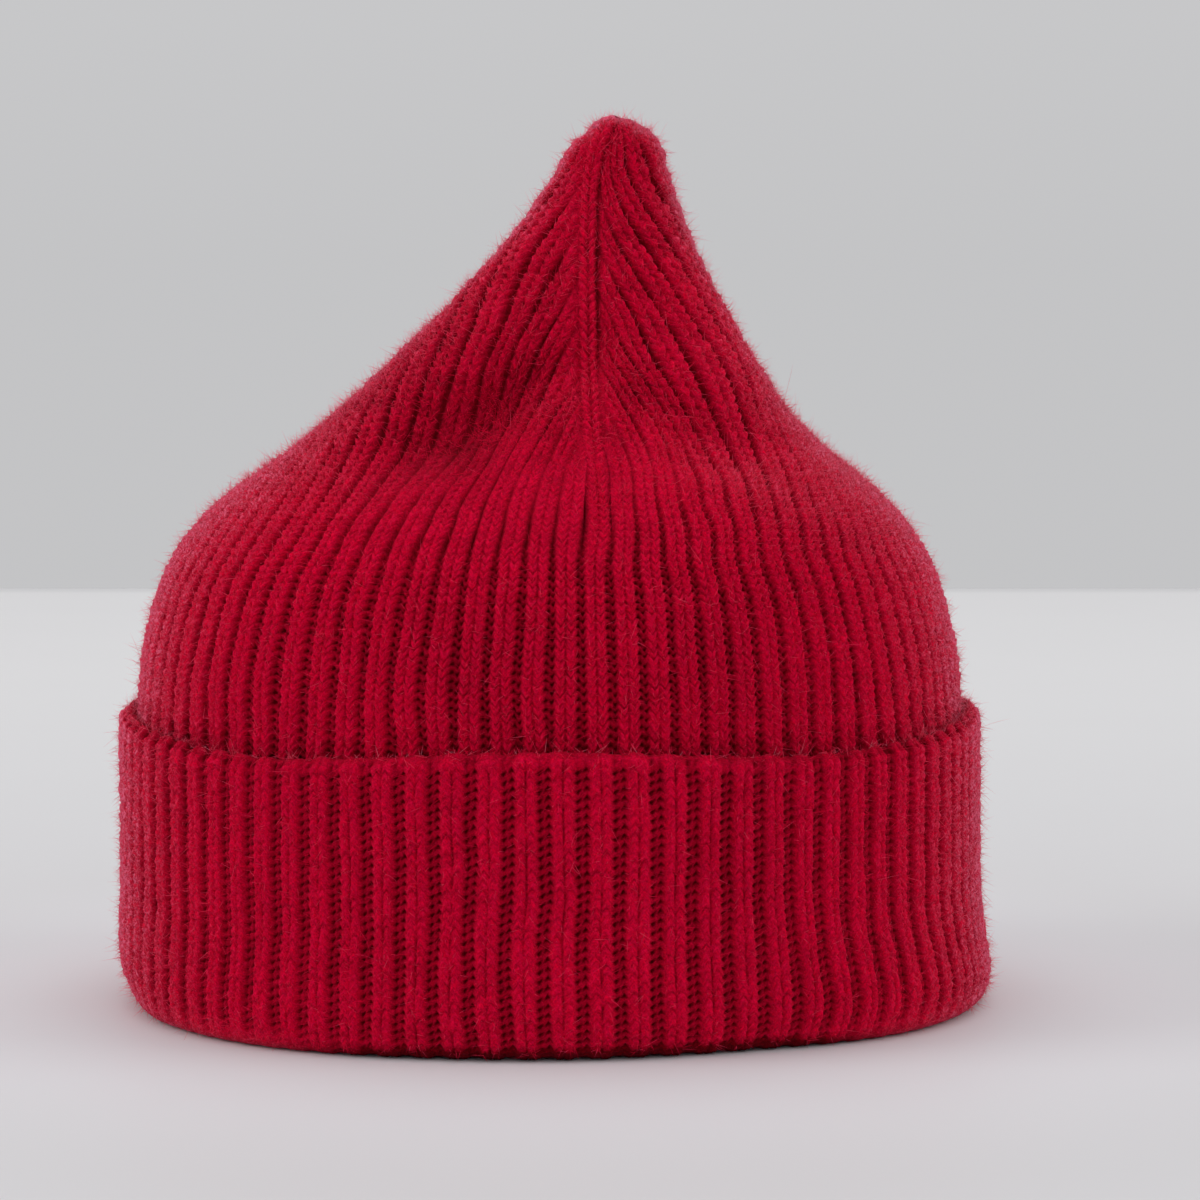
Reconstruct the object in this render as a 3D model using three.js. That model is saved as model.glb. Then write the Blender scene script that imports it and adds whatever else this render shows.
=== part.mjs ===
import * as THREE from 'three';

// Knitted hat with a pointed crown and a turned-up cuff.
// Millimetres, +Z up, z = 0 is the table, the front of the hat faces -Y.

const WALL = 3.0;          // knitted wall of the crown, from rib crest to inside
const CUFF_WALL = 3.4;     // turned-up band, a little plumper than the crown
const FOLD_HEIGHT = 3.4;   // fabric that turns under at the lower edge
const GAP = 0.4;           // air between the crown and the band folded over it
const CUFF_TOP = 59.4;     // mean height of the band's upper edge
const SQUARENESS = 0.024;  // how far the oval plan bulges at its corners
const SPINE_ANGLE = -83.8; // front one of the four decrease lines, degrees
const AROUND = 60;         // facets around the hat
const STEPS = 33;          // rows of facets from the lower edge to the tip

// Crown, outside of the ribs, one row per section from the lower edge to the tip.
//   z height, cx and cy centre, a half width, b half depth, ridge lift at the decrease lines
const CROWN_SECTIONS = [
  { z: FOLD_HEIGHT + GAP, cx: 0.4, cy: 0.0, a: 86.6, b: 78.4, ridge: 0.000 },
  { z: 11.0, cx: 0.2, cy: 0.0, a: 87.7, b: 79.4, ridge: 0.000 },
  { z: 30.0, cx: 0.0, cy: 0.0, a: 87.7, b: 79.6, ridge: 0.000 },
  { z: 50.0, cx: 0.0, cy: 0.0, a: 87.7, b: 79.6, ridge: 0.000 },
  { z: 63.0, cx: 0.0, cy: 0.0, a: 87.5, b: 79.4, ridge: 0.000 },
  { z: 74.0, cx: 0.0, cy: 0.0, a: 86.4, b: 78.4, ridge: 0.000 },
  { z: 84.5, cx: 0.0, cy: 0.0, a: 84.1, b: 76.2, ridge: 0.000 },
  { z: 93.0, cx: 0.2, cy: 0.1, a: 80.9, b: 73.0, ridge: 0.000 },
  { z: 99.6, cx: 0.4, cy: 0.2, a: 76.8, b: 69.2, ridge: 0.002 },
  { z: 105.6, cx: 0.8, cy: 0.3, a: 71.4, b: 64.2, ridge: 0.004 },
  { z: 111.8, cx: 1.3, cy: 0.5, a: 63.8, b: 57.4, ridge: 0.008 },
  { z: 118.5, cx: 2.0, cy: 0.8, a: 54.8, b: 49.6, ridge: 0.012 },
  { z: 126.8, cx: 3.0, cy: 1.2, a: 46.0, b: 42.0, ridge: 0.016 },
  { z: 135.3, cx: 5.0, cy: 1.7, a: 38.6, b: 35.4, ridge: 0.018 },
  { z: 143.8, cx: 7.0, cy: 2.2, a: 31.8, b: 29.4, ridge: 0.020 },
  { z: 152.3, cx: 8.7, cy: 2.7, a: 25.3, b: 23.6, ridge: 0.022 },
  { z: 160.8, cx: 10.3, cy: 3.2, a: 19.6, b: 18.5, ridge: 0.022 },
  { z: 169.2, cx: 12.0, cy: 3.6, a: 15.0, b: 14.2, ridge: 0.020 },
  { z: 176.0, cx: 13.2, cy: 3.9, a: 11.8, b: 11.1, ridge: 0.016 },
  { z: 180.8, cx: 13.9, cy: 4.0, a: 9.7, b: 9.0, ridge: 0.010 },
  { z: 183.9, cx: 14.3, cy: 4.0, a: 7.0, b: 6.5, ridge: 0.004 },
  { z: 185.8, cx: 14.1, cy: 4.0, a: 4.0, b: 3.8, ridge: 0.000 },
  { z: 186.5, cx: 13.6, cy: 4.0, a: 0.0, b: 0.0, ridge: 0.000 },
];

// Soft hollows pressed into the crown, one row per hollow.
//   angle around the hat in degrees, z height, along and across half lengths,
//   tilt of the long way in degrees, depth towards the axis
const HOLLOWS = [
  { angle: -111, z: 127.5, along: 23, across: 8.5, tilt: 33, depth: 6.4 },
  { angle: -52, z: 121.0, along: 20, across: 9.0, tilt: -24, depth: 2.2 },
  { angle: 48, z: 124.0, along: 22, across: 10.0, tilt: 20, depth: 2.6 },
  { angle: 128, z: 119.0, along: 24, across: 9.0, tilt: -16, depth: 2.2 },
];

// Band, outside of the ribs, one row per section.
const CUFF_SECTIONS = [
  { z: 0.0, cx: 0.8, cy: 0.0, a: 92.9, b: 84.4 },
  { z: 9.0, cx: 0.6, cy: 0.0, a: 93.0, b: 84.5 },
  { z: 16.0, cx: 0.3, cy: 0.0, a: 92.3, b: 84.0 },
  { z: 26.0, cx: 0.1, cy: 0.0, a: 91.8, b: 83.6 },
  { z: 42.0, cx: 0.0, cy: 0.0, a: 91.8, b: 83.6 },
  { z: 64.0, cx: 0.0, cy: 0.0, a: 91.6, b: 83.4 },
];

// Once round the band's cross-section.
//   inset from the outside face, z height, follow how much of the wavy upper edge is followed
const CUFF_PROFILE = [
  { inset: 0.0, z: 15.0, follow: 0.0 },
  { inset: 0.0, z: 35.0, follow: 0.5 },
  { inset: 0.0, z: CUFF_TOP - 3.2, follow: 1.0 },
  { inset: 0.5, z: CUFF_TOP - 1.0, follow: 1.0 },
  { inset: 0.5 * CUFF_WALL, z: CUFF_TOP, follow: 1.0 },
  { inset: CUFF_WALL - 0.5, z: CUFF_TOP - 1.0, follow: 1.0 },
  { inset: CUFF_WALL, z: CUFF_TOP - 3.2, follow: 1.0 },
  { inset: CUFF_WALL, z: 35.0, follow: 0.5 },
  { inset: CUFF_WALL, z: 13.0, follow: 0.0 },
  { inset: CUFF_WALL + 0.9, z: FOLD_HEIGHT, follow: 0.0 },
  { inset: 8.7, z: FOLD_HEIGHT, follow: 0.0 },
  { inset: 9.5, z: 1.7, follow: 0.0 },
  { inset: 8.8, z: 0.0, follow: 0.0 },
  { inset: 4.6, z: 0.0, follow: 0.0 },
  { inset: 2.0, z: 1.5, follow: 0.0 },
  { inset: 0.6, z: 4.6, follow: 0.0 },
  { inset: 0.1, z: 9.0, follow: 0.0 },
];

// Rise and fall of the band's upper edge around the hat.
const CUFF_EDGE = [
  { angle: -180, rise: 3.0 },
  { angle: -150, rise: 0.2 },
  { angle: -128, rise: -1.8 },
  { angle: -88, rise: 1.0 },
  { angle: -56, rise: -1.0 },
  { angle: -26, rise: 0.6 },
  { angle: 0, rise: 3.0 },
  { angle: 40, rise: 0.4 },
  { angle: 84, rise: -0.6 },
  { angle: 128, rise: 0.6 },
  { angle: 180, rise: 3.0 },
];

const rad = (degrees) => degrees * Math.PI / 180;

// smooth value of one column at a fractional row number
function column(table, name, at) {
  const last = table.length - 1;
  const t = Math.min(Math.max(at, 0), last);
  const i = Math.min(Math.floor(t), last - 1);
  const f = t - i;
  const p1 = table[i][name];
  const p2 = table[i + 1][name];
  const p0 = i > 0 ? table[i - 1][name] : 2 * p1 - p2;
  const p3 = i + 2 <= last ? table[i + 2][name] : 2 * p2 - p1;
  return 0.5 * (2 * p1 + (p2 - p0) * f
    + (2 * p0 - 5 * p1 + 4 * p2 - p3) * f * f
    + (3 * p1 - p0 - 3 * p2 + p3) * f * f * f);
}

// fractional row number at which a rising column reaches a value
function rowAt(table, name, value) {
  const last = table.length - 1;
  for (let i = 0; i < last; i++) {
    const low = table[i][name];
    const high = table[i + 1][name];
    if (value <= high) return i + Math.min(Math.max((value - low) / (high - low), 0), 1);
  }
  return last;
}

function plan(angle) {
  const corner = Math.sin(2 * angle);
  return 1 + SQUARENESS * corner * corner;
}

function crownOutside(at, angle) {
  const a = column(CROWN_SECTIONS, 'a', at);
  const b = column(CROWN_SECTIONS, 'b', at);
  const z = column(CROWN_SECTIONS, 'z', at);
  const ridge = column(CROWN_SECTIONS, 'ridge', at) * Math.cos(4 * (angle - rad(SPINE_ANGLE)));
  const swell = plan(angle) + ridge;
  const point = new THREE.Vector3(
    column(CROWN_SECTIONS, 'cx', at) + a * swell * Math.cos(angle),
    column(CROWN_SECTIONS, 'cy', at) + b * swell * Math.sin(angle),
    z,
  );
  for (const hollow of HOLLOWS) {
    let turn = angle - rad(hollow.angle);
    turn -= 2 * Math.PI * Math.round(turn / (2 * Math.PI));
    const sideways = turn * (a + b) / 2;
    const up = z - hollow.z;
    const tilt = rad(hollow.tilt);
    const along = (sideways * Math.cos(tilt) + up * Math.sin(tilt)) / hollow.along;
    const across = (up * Math.cos(tilt) - sideways * Math.sin(tilt)) / hollow.across;
    const press = hollow.depth * Math.exp(-along * along - across * across);
    point.x -= press * Math.cos(angle);
    point.y -= press * Math.sin(angle);
    point.z -= 0.3 * press;
  }
  return point;
}

function crownInside(at, angle) {
  const last = CROWN_SECTIONS.length - 1;
  const here = crownOutside(at, angle);
  if (at >= last) return here.add(new THREE.Vector3(0, 0, -WALL));
  const step = 0.02;
  const up = crownOutside(Math.min(at + step, last), angle)
    .sub(crownOutside(Math.max(at - step, 0), angle));
  const along = crownOutside(at, angle + step).sub(crownOutside(at, angle - step));
  const outward = along.cross(up).normalize();
  if (at <= 0) outward.setZ(0).normalize();
  return here.addScaledVector(outward, -WALL);
}

function cuffPoint(corner, angle) {
  const edge = column(CUFF_EDGE, 'rise', rowAt(CUFF_EDGE, 'angle', angle * 180 / Math.PI));
  const z = corner.z + corner.follow * edge;
  const at = rowAt(CUFF_SECTIONS, 'z', z);
  const swell = plan(angle);
  return new THREE.Vector3(
    column(CUFF_SECTIONS, 'cx', at) + (column(CUFF_SECTIONS, 'a', at) * swell - corner.inset) * Math.cos(angle),
    column(CUFF_SECTIONS, 'cy', at) + (column(CUFF_SECTIONS, 'b', at) * swell - corner.inset) * Math.sin(angle),
    z,
  );
}

// A lathe gives the closed facets; each of its corners is then moved to its place on the oval.
function turned(profile, place) {
  const geometry = new THREE.LatheGeometry(profile, AROUND);
  const position = geometry.attributes.position;
  for (let i = 0; i <= AROUND; i++) {
    const around = (i % AROUND) / AROUND;
    const angle = Math.PI - around * 2 * Math.PI;
    for (let j = 0; j < profile.length; j++) {
      const point = place(j, angle);
      position.setXYZ(i * profile.length + j, point.x, point.y, point.z);
    }
  }
  geometry.computeVertexNormals();
  return geometry;
}

const wool = new THREE.MeshStandardMaterial({ color: 0x9a0c28, roughness: 0.95, metalness: 0.0 });
wool.name = 'wool';

function crown() {
  const last = CROWN_SECTIONS.length - 1;
  const rows = [];
  for (let k = 0; k <= STEPS; k++) rows.push(last * k / STEPS);
  const profile = [];
  for (let k = STEPS; k >= 0; k--) profile.push({ at: rows[k], place: crownOutside });
  for (let k = 0; k <= STEPS; k++) profile.push({ at: rows[k], place: crownInside });
  const flat = profile.map(({ at, place }) => {
    const point = place(at, 0);
    return new THREE.Vector2(at >= last ? 0 : Math.abs(point.x), point.z);
  });
  const mesh = new THREE.Mesh(turned(flat, (j, angle) => profile[j].place(profile[j].at, angle)), wool);
  mesh.name = 'crown';
  return mesh;
}

function cuff() {
  const ring = [...CUFF_PROFILE, CUFF_PROFILE[0]].reverse();
  const flat = ring.map((corner) => new THREE.Vector2(93 - corner.inset, corner.z));
  const mesh = new THREE.Mesh(turned(flat, (j, angle) => cuffPoint(ring[j], angle)), wool);
  mesh.name = 'cuff';
  return mesh;
}

const hat = new THREE.Group();
hat.name = 'knitted_hat';
hat.add(crown(), cuff());

export default hat;
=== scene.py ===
import math

import bpy
import numpy as np
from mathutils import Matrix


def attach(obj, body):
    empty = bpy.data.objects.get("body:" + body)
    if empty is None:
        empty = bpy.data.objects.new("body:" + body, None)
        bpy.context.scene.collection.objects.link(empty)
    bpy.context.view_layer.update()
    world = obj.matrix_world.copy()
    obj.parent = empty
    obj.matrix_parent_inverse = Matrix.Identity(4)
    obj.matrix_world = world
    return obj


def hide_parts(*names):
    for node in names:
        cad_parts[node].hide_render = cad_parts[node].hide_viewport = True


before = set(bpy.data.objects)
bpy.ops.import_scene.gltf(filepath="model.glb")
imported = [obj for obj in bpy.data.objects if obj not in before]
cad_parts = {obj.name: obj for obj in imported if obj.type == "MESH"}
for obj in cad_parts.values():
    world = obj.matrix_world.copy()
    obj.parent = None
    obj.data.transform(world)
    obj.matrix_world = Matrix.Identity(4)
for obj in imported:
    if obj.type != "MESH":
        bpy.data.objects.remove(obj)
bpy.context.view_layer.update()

# All making is in millimetres, in the frame of the solids, and is scaled to metres as each mesh is stored.
MM = 0.001
CENTRE_X = 1.2
WALL = 3.0
SQUARENESS = 0.024
RIBS = 80                # ribs around the hat
COURSE = 1.83            # height of one row of stitches
CONE_COURSE = 2.25       # the same on the cone, where the cloth is stretched upwards
HALF = 20                # ribs between two decrease lines

# Crown, outside of the ribs: z, cx, cy, a, b, ridge
CROWN = np.array([
    (3.8, 0.4, 0.0, 86.8, 78.6, 0.000),
    (11.0, 0.2, 0.0, 88.2, 79.9, 0.000),
    (30.0, 0.0, 0.0, 88.2, 80.0, 0.000),
    (50.0, 0.0, 0.0, 88.2, 80.0, 0.000),
    (63.0, 0.0, 0.0, 88.0, 79.9, 0.000),
    (74.0, 0.0, 0.0, 87.2, 79.1, 0.000),
    (84.5, 0.0, 0.0, 84.8, 76.9, 0.000),
    (93.0, 0.2, 0.1, 81.7, 73.7, 0.000),
    (99.6, 0.4, 0.2, 77.5, 69.9, 0.002),
    (105.6, 0.8, 0.3, 72.2, 64.9, 0.004),
    (111.8, 1.3, 0.5, 64.5, 58.1, 0.008),
    (118.5, 2.0, 0.8, 55.2, 50.0, 0.012),
    (126.8, 3.0, 1.2, 46.5, 42.4, 0.016),
    (135.3, 5.0, 1.7, 39.1, 35.8, 0.018),
    (143.8, 7.0, 2.2, 32.2, 29.8, 0.020),
    (152.3, 8.7, 2.7, 25.8, 24.0, 0.022),
    (160.8, 10.3, 3.2, 20.1, 18.9, 0.022),
    (169.2, 12.0, 3.6, 15.4, 14.6, 0.020),
    (176.0, 13.2, 3.9, 12.2, 11.5, 0.016),
    (181.4, 13.9, 4.0, 10.1, 9.4, 0.010),
    (184.8, 14.3, 4.0, 7.5, 6.9, 0.004),
    (186.9, 14.1, 4.0, 4.2, 4.0, 0.000),
    (187.7, 13.6, 4.0, 0.0, 0.0, 0.000),
])
LAST = len(CROWN) - 1
SPINE_ANGLE = math.radians(-83.8)

# Soft hollows: angle, z, along, across, tilt, depth
HOLLOWS = (
    (-111, 127.5, 23, 8.5, 33, 6.4),
    (-52, 121.0, 20, 9.0, -24, 2.2),
    (48, 124.0, 22, 10.0, 20, 2.6),
    (128, 119.0, 24, 9.0, -16, 2.2),
)

# Band, outside of the ribs: z, cx, a, b
CUFF = np.array([
    (0.0, 1.4, 93.6, 84.7),
    (8.0, 1.2, 93.7, 84.8),
    (16.0, 0.5, 92.9, 84.4),
    (26.0, 0.2, 92.3, 83.9),
    (42.0, 0.1, 92.2, 83.8),
    (66.0, 0.1, 92.1, 83.7),
])
CUFF_WALL = 3.4
CUFF_TOP = 60.9

# Once over the band, from inside its upper edge, down its face and under to the crown: inset, z, follow
CUFF_PROFILE = np.array([
    (3.40, CUFF_TOP - 6.5, 1.0),
    (3.40, CUFF_TOP - 3.2, 1.0),
    (2.90, CUFF_TOP - 1.0, 1.0),
    (1.70, CUFF_TOP, 1.0),
    (0.50, CUFF_TOP - 1.0, 1.0),
    (0.00, CUFF_TOP - 3.2, 1.0),
    (0.00, 46.0, 0.75),
    (0.00, 35.0, 0.5),
    (0.00, 24.0, 0.22),
    (0.00, 15.0, 0.0),
    (0.10, 9.0, 0.0),
    (0.60, 4.6, 0.0),
    (2.00, 1.5, 0.0),
    (4.60, 0.0, 0.0),
    (6.70, 0.0, 0.0),
    (8.80, 0.0, 0.0),
    (9.55, 1.7, 0.0),
    (9.70, 3.8, 0.0),
])

# Rise of the band's upper edge: angle, rise
CUFF_EDGE = np.array([
    (-180, 2.6), (-150, 0.0), (-128, -1.8), (-88, 1.0), (-56, -1.0), (-26, 0.6),
    (0, 2.6), (40, 0.4), (84, -0.6), (128, 0.6), (180, 2.6),
])

# How the ribs bunch and spread around the hat: cos, sin, cos 2, sin 2, cos 3, sin 3, offset
CROWN_SPREAD = (0.484, 0.509, 0.222, -0.399, 0.240, 0.038, 0.486)
CUFF_SPREAD = (0.483, 0.445, 0.140, 0.136, 0.328, 0.203, 0.850)

# How the rib lines turn round the hat as they climb, in degrees from where each lies on the body.
# A rib that reaches a decrease line ends there; its line carries on out of sight.
TURN_Z = np.array([98.0, 104, 110, 116, 122, 128, 136, 144, 152, 160, 168, 176, 188])
FRONT_TURN = np.array([0, 0.9, 1.2, 1.2, 1.0, 0.5, -1.6, -4.3, -7.7, -12.2, -19.5, -29.0, -34.0])
RIGHT_TURN = (
    (0.5, (0, 0.9, 1.2, 1.7, 0.6, -3, -9, -17, -27, -39, -51, -61, -61)),
    (1.5, (0, 0.9, 1.2, 2.3, 1.1, -2, -8, -16, -26, -38, -50, -60, -60)),
    (3.5, (0, 1.1, 1.6, 3.2, 4.0, 1.5, -6, -15, -25, -37, -49, -60, -60)),
    (4.5, (0, 1.4, 1.7, 3.9, 4.9, 2.5, -4.5, -13.2, -23, -35, -48, -58, -58)),
    (5.5, (0, 1.3, 2.6, 6.0, 7.3, 5.9, -0.9, -6.7, -15.9, -27, -41, -52, -54)),
    (6.5, (0, 1.7, 3.8, 8.3, 11.2, 11.1, 7.8, 2.8, -5.6, -18, -33, -46, -50)),
    (7.5, (0, 1.9, 4.8, 10.9, 16.4, 18.9, 19.0, 13.9, 7.2, -4.7, -21.8, -38, -44)),
    (8.5, (0, 2.8, 6.5, 13.4, 18.2, 22.4, 27.2, 25.9, 21.7, 12.2, -3.8, -24, -36)),
    (9.5, (0, 3.2, 7.7, 15.5, 21.0, 27.0, 34.5, 36.5, 36.0, 32.5, 23.5, 9, -8)),
    (12.5, (0, 4.0, 8.5, 17.5, 25.0, 33.0, 44.0, 50.0, 52.0, 52.0, 53.0, 51, 48)),
    (20.0, (0, 4.0, 8.0, 19.0, 30.0, 42.0, 58.0, 66.0, 78.0, 95.0, 115.0, 130, 130)),
)
LEFT_TURN = (
    (-20.0, (0, -3.0, -8.0, -18.0, -29.0, -40.0, -56.0, -64.0, -88.0, -114.0, -148.0, -173, -173)),
    (-12.5, (0, -0.6, -3.1, -9.1, -16.8, -24.8, -37.0, -47.0, -67.0, -79.0, -94.0, -104, -99)),
    (-10.5, (0, -0.5, -2.2, -5.5, -9.1, -14.8, -25.5, -38.5, -53.0, -66.0, -76.0, -78, -70)),
    (-9.5, (0, -0.6, -1.5, -4.3, -6.6, -9.6, -16.6, -27.3, -43.0, -56.0, -63.0, -60, -50)),
    (-8.5, (0, -0.3, -0.6, -2.3, -5.1, -7.1, -10.1, -17.1, -28.0, -37.0, -38.0, -30, -18)),
    (-7.5, (0, -0.1, 0.2, 0.5, -0.5, -2.3, -4.3, -6.9, -12.6, -15.8, -12.0, -3, 8)),
    (-6.5, (0, 0.2, 0.6, 1.2, 0.5, -1.0, -2.0, -2.5, -2.0, 3.0, 12.0, 24, 30)),
    (-5.5, (0, 0.2, 0.4, 1.4, 1.2, 0.0, 1.2, 3.4, 8.0, 16.0, 28.0, 40, 44)),
    (-4.5, (0, 0.1, 0.7, 1.5, 2.5, 2.5, 3.5, 8.5, 17.0, 27.0, 38.0, 50, 50)),
    (-3.5, (0, 0.2, 0.4, 1.5, 3.8, 6.0, 11.0, 17.0, 27.0, 37.0, 47.0, 57, 57)),
    (-1.5, (0, 0.1, 0.5, 1.6, 4.0, 7.0, 12.0, 20.0, 30.0, 40.0, 50.0, 60, 60)),
    (-0.5, (0, 0.5, 0.9, 1.6, 4.4, 7.5, 13.0, 21.0, 31.0, 41.0, 51.0, 61, 61)),
)
BACK_PITCH = np.array([(98.0, 5.3), (110.0, 4.7), (122.0, 4.6), (144.0, 4.6), (170.0, 4.6)])   # height, rib spacing

# How wide the face of a rib is, as a share of half the spacing: height, share
FACE = np.array([(60.0, 0.325), (95.0, 0.33), (110.0, 0.37), (120.0, 0.395), (135.0, 0.41), (187.7, 0.41)])


def spline(table, at):
    """Smooth rows of a table at fractional row numbers."""
    table = table if table.ndim > 1 else table[:, None]
    last = len(table) - 1
    p = np.concatenate([2 * table[:1] - table[1:2], table, 2 * table[-1:] - table[-2:-1]])
    t = np.clip(at, 0, last)
    i = np.minimum(t.astype(int), last - 1)
    f = (t - i)[..., None]
    p0, p1, p2, p3 = p[i], p[i + 1], p[i + 2], p[i + 3]
    return 0.5 * (2 * p1 + (p2 - p0) * f + (2 * p0 - 5 * p1 + 4 * p2 - p3) * f * f
                  + (3 * p1 - p0 - 3 * p2 + p3) * f * f * f)


def row_at(column, value):
    return np.interp(value, column, np.arange(len(column)))


def plan(angle):
    return 1 + SQUARENESS * np.sin(2 * angle) ** 2


def crown_point(at, angle):
    row = spline(CROWN, at)
    z, cx, cy, a, b, ridge = (row[..., k] for k in range(6))
    swell = plan(angle) + ridge * np.cos(4 * (angle - SPINE_ANGLE))
    c, s = np.cos(angle), np.sin(angle)
    x = cx + a * swell * c
    y = cy + b * swell * s
    high = z.copy()
    for h_angle, h_z, h_along, h_across, h_tilt, h_depth in HOLLOWS:
        turn = angle - math.radians(h_angle)
        turn = turn - 2 * math.pi * np.round(turn / (2 * math.pi))
        side = turn * (a + b) / 2
        up = z - h_z
        ct, st = math.cos(math.radians(h_tilt)), math.sin(math.radians(h_tilt))
        along = (side * ct + up * st) / h_along
        across = (up * ct - side * st) / h_across
        press = h_depth * np.exp(-along * along - across * across)
        x = x - press * c
        y = y - press * s
        high = high - 0.3 * press
    return np.stack([x - CENTRE_X, y, high], -1)


def cuff_point(inset, z, follow, angle):
    wrapped = np.mod(angle + math.pi, 2 * math.pi) - math.pi
    rise = spline(CUFF_EDGE[:, 1], row_at(CUFF_EDGE[:, 0], np.degrees(wrapped)))[..., 0]
    high = z + follow * rise
    row = spline(CUFF, row_at(CUFF[:, 0], high))
    swell = plan(angle)
    x = row[..., 1] + (row[..., 2] * swell - inset) * np.cos(angle)
    y = (row[..., 3] * swell - inset) * np.sin(angle)
    return np.stack([x - CENTRE_X, y, high], -1)


def unit(v):
    return v / np.maximum(np.linalg.norm(v, axis=-1, keepdims=True), 1e-9)


def smooth(edge0, edge1, value):
    t = np.clip((value - edge0) / (edge1 - edge0), 0, 1)
    return t * t * (3 - 2 * t)


def chance(*keys):
    """A repeatable random number from 0 to 1 for each set of whole-number keys."""
    h = np.zeros(np.broadcast(*keys).shape, np.uint64)
    for n, key in enumerate(keys):
        k = (np.asarray(key).astype(np.int64) & 0xFFFFFFFF).astype(np.uint64)
        h = (h ^ (k + np.uint64(0x9E3779B9 + 0x1000193 * n))) * np.uint64(0x5851F42D4C957F2D)
        h ^= h >> np.uint64(29)
    h = h * np.uint64(0x2545F4914F6CDD1D)
    return ((h >> np.uint64(40)) & np.uint64(0xFFFFFF)).astype(float) / 0xFFFFFF


def wander(x, y, seed, period=None):
    """Smooth noise from -1 to 1; period wraps the x lattice."""
    ix, iy = np.floor(x).astype(int), np.floor(y).astype(int)
    fx, fy = x - ix, y - iy
    fx, fy = fx * fx * (3 - 2 * fx), fy * fy * (3 - 2 * fy)
    wrap = (lambda i: np.mod(i, period)) if period else (lambda i: i)
    a, b = chance(wrap(ix), iy, seed), chance(wrap(ix + 1), iy, seed)
    c, d = chance(wrap(ix), iy + 1, seed), chance(wrap(ix + 1), iy + 1, seed)
    return 2 * ((a * (1 - fx) + b * fx) * (1 - fy) + (c * (1 - fx) + d * fx) * fy) - 1


# ---------------------------------------------------------------------------
# rib counters: how many ribs from the front decrease line an angle lies


def rib_counter(ring, spread):
    """(ribs, angles) once round, with the ribs rising from about -40 to 40."""
    angle = np.linspace(SPINE_ANGLE - math.pi, SPINE_ANGLE + math.pi, 5001)
    points = ring(angle)
    run = np.concatenate([[0], np.cumsum(np.linalg.norm(np.diff(points, axis=0), axis=1))])
    ribs = (run - run[2500]) / run[-1] * RIBS
    for k in (1, 2, 3):
        ribs = ribs + spread[2 * k - 2] * np.cos(k * angle) + spread[2 * k - 1] * np.sin(k * angle)
    return ribs + spread[6], angle


def angle_of(counter, rib):
    ribs, angles = counter
    turns = np.floor((rib - ribs[0]) / RIBS)
    return np.interp(rib - turns * RIBS, ribs, angles) + turns * 2 * math.pi


t70 = float(row_at(CROWN[:, 0], 70.3))
CROWN_COUNTER = rib_counter(lambda a: crown_point(np.full(a.shape, t70), a), CROWN_SPREAD)
CUFF_COUNTER = rib_counter(lambda a: cuff_point(np.zeros(a.shape), np.full(a.shape, 36.0), np.zeros(a.shape), a), CUFF_SPREAD)


def body_angle(rib):
    return np.degrees(angle_of(CROWN_COUNTER, np.asarray(rib, float)))


# levels of the crown, from behind the cuff to the tip
T0 = float(row_at(CROWN[:, 0], 56.5))
LEVEL = np.concatenate([np.linspace(T0, LAST - 1.2, 1200), np.linspace(LAST - 1.2, LAST, 400)[1:]])
LEVELS = len(LEVEL)
LEVEL_Z = spline(CROWN[:, :1], LEVEL)[:, 0]
_round = np.radians(np.linspace(-180, 180, 181))
_net = crown_point(LEVEL[:, None] + 0 * _round, _round[None, :] + 0 * LEVEL[:, None])
ROUND = np.maximum(np.linalg.norm(np.diff(_net, axis=1), axis=2).sum(1), 0.05)        # length once round each level
PER_DEGREE = ROUND / 360
_rise = np.linalg.norm(np.diff(_net[:, ::10], axis=0), axis=2).mean(1)
CLIMB = np.concatenate([[0], np.cumsum(_rise)])                                       # mean way up the cloth


def softened(values, reach):
    """Running average along the levels, by height."""
    out = np.empty_like(values)
    total = np.concatenate([[0], np.cumsum((values[1:] + values[:-1]) / 2 * np.diff(CLIMB))])
    low, high = np.maximum(CLIMB - reach, 0), np.minimum(CLIMB + reach, CLIMB[-1])
    out = (np.interp(high, CLIMB, total) - np.interp(low, CLIMB, total)) / (high - low)
    return out


def turned(row):
    level_turn = spline(np.array(row, float), row_at(TURN_Z, LEVEL_Z))[:, 0]
    level_turn = np.where(LEVEL_Z <= TURN_Z[0], 0.0, level_turn)
    return softened(level_turn, 2.5)


RIB_STEP = 0.25
FINE_RIB = np.arange(-2, 22 + RIB_STEP / 2, RIB_STEP)        # ribs counted from a wedge's first decrease line


def front_lines(turns, first):
    knots = np.array([t[0] for t in turns])
    rows = np.array([turned(t[1]) for t in turns])
    rib = FINE_RIB + first
    turn = np.array([np.interp(rib, knots, rows[:, i]) for i in range(LEVELS)])
    pad = np.pad(turn, ((0, 0), (2, 2)), mode="edge")
    turn = (pad[:, :-4] + 2 * pad[:, 1:-3] + 3 * pad[:, 2:-2] + 2 * pad[:, 3:-1] + pad[:, 4:]) / 9
    return body_angle(rib)[None, :] + turn


def line_angle(table, level, rib):
    """Degrees round the hat for a fractional level number and rib in one wedge's table."""
    r = np.clip((rib - FINE_RIB[0]) / RIB_STEP, 0, len(FINE_RIB) - 1.001)
    l = np.clip(level, 0, LEVELS - 1.001)
    i, j = l.astype(int), r.astype(int)
    f, g = l - i, r - j
    return ((table[i, j] * (1 - g) + table[i, j + 1] * g) * (1 - f)
            + (table[i + 1, j] * (1 - g) + table[i + 1, j + 1] * g) * f)


TABLES = [front_lines(RIGHT_TURN, 0), None, None, front_lines(LEFT_TURN, -20)]
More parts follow.
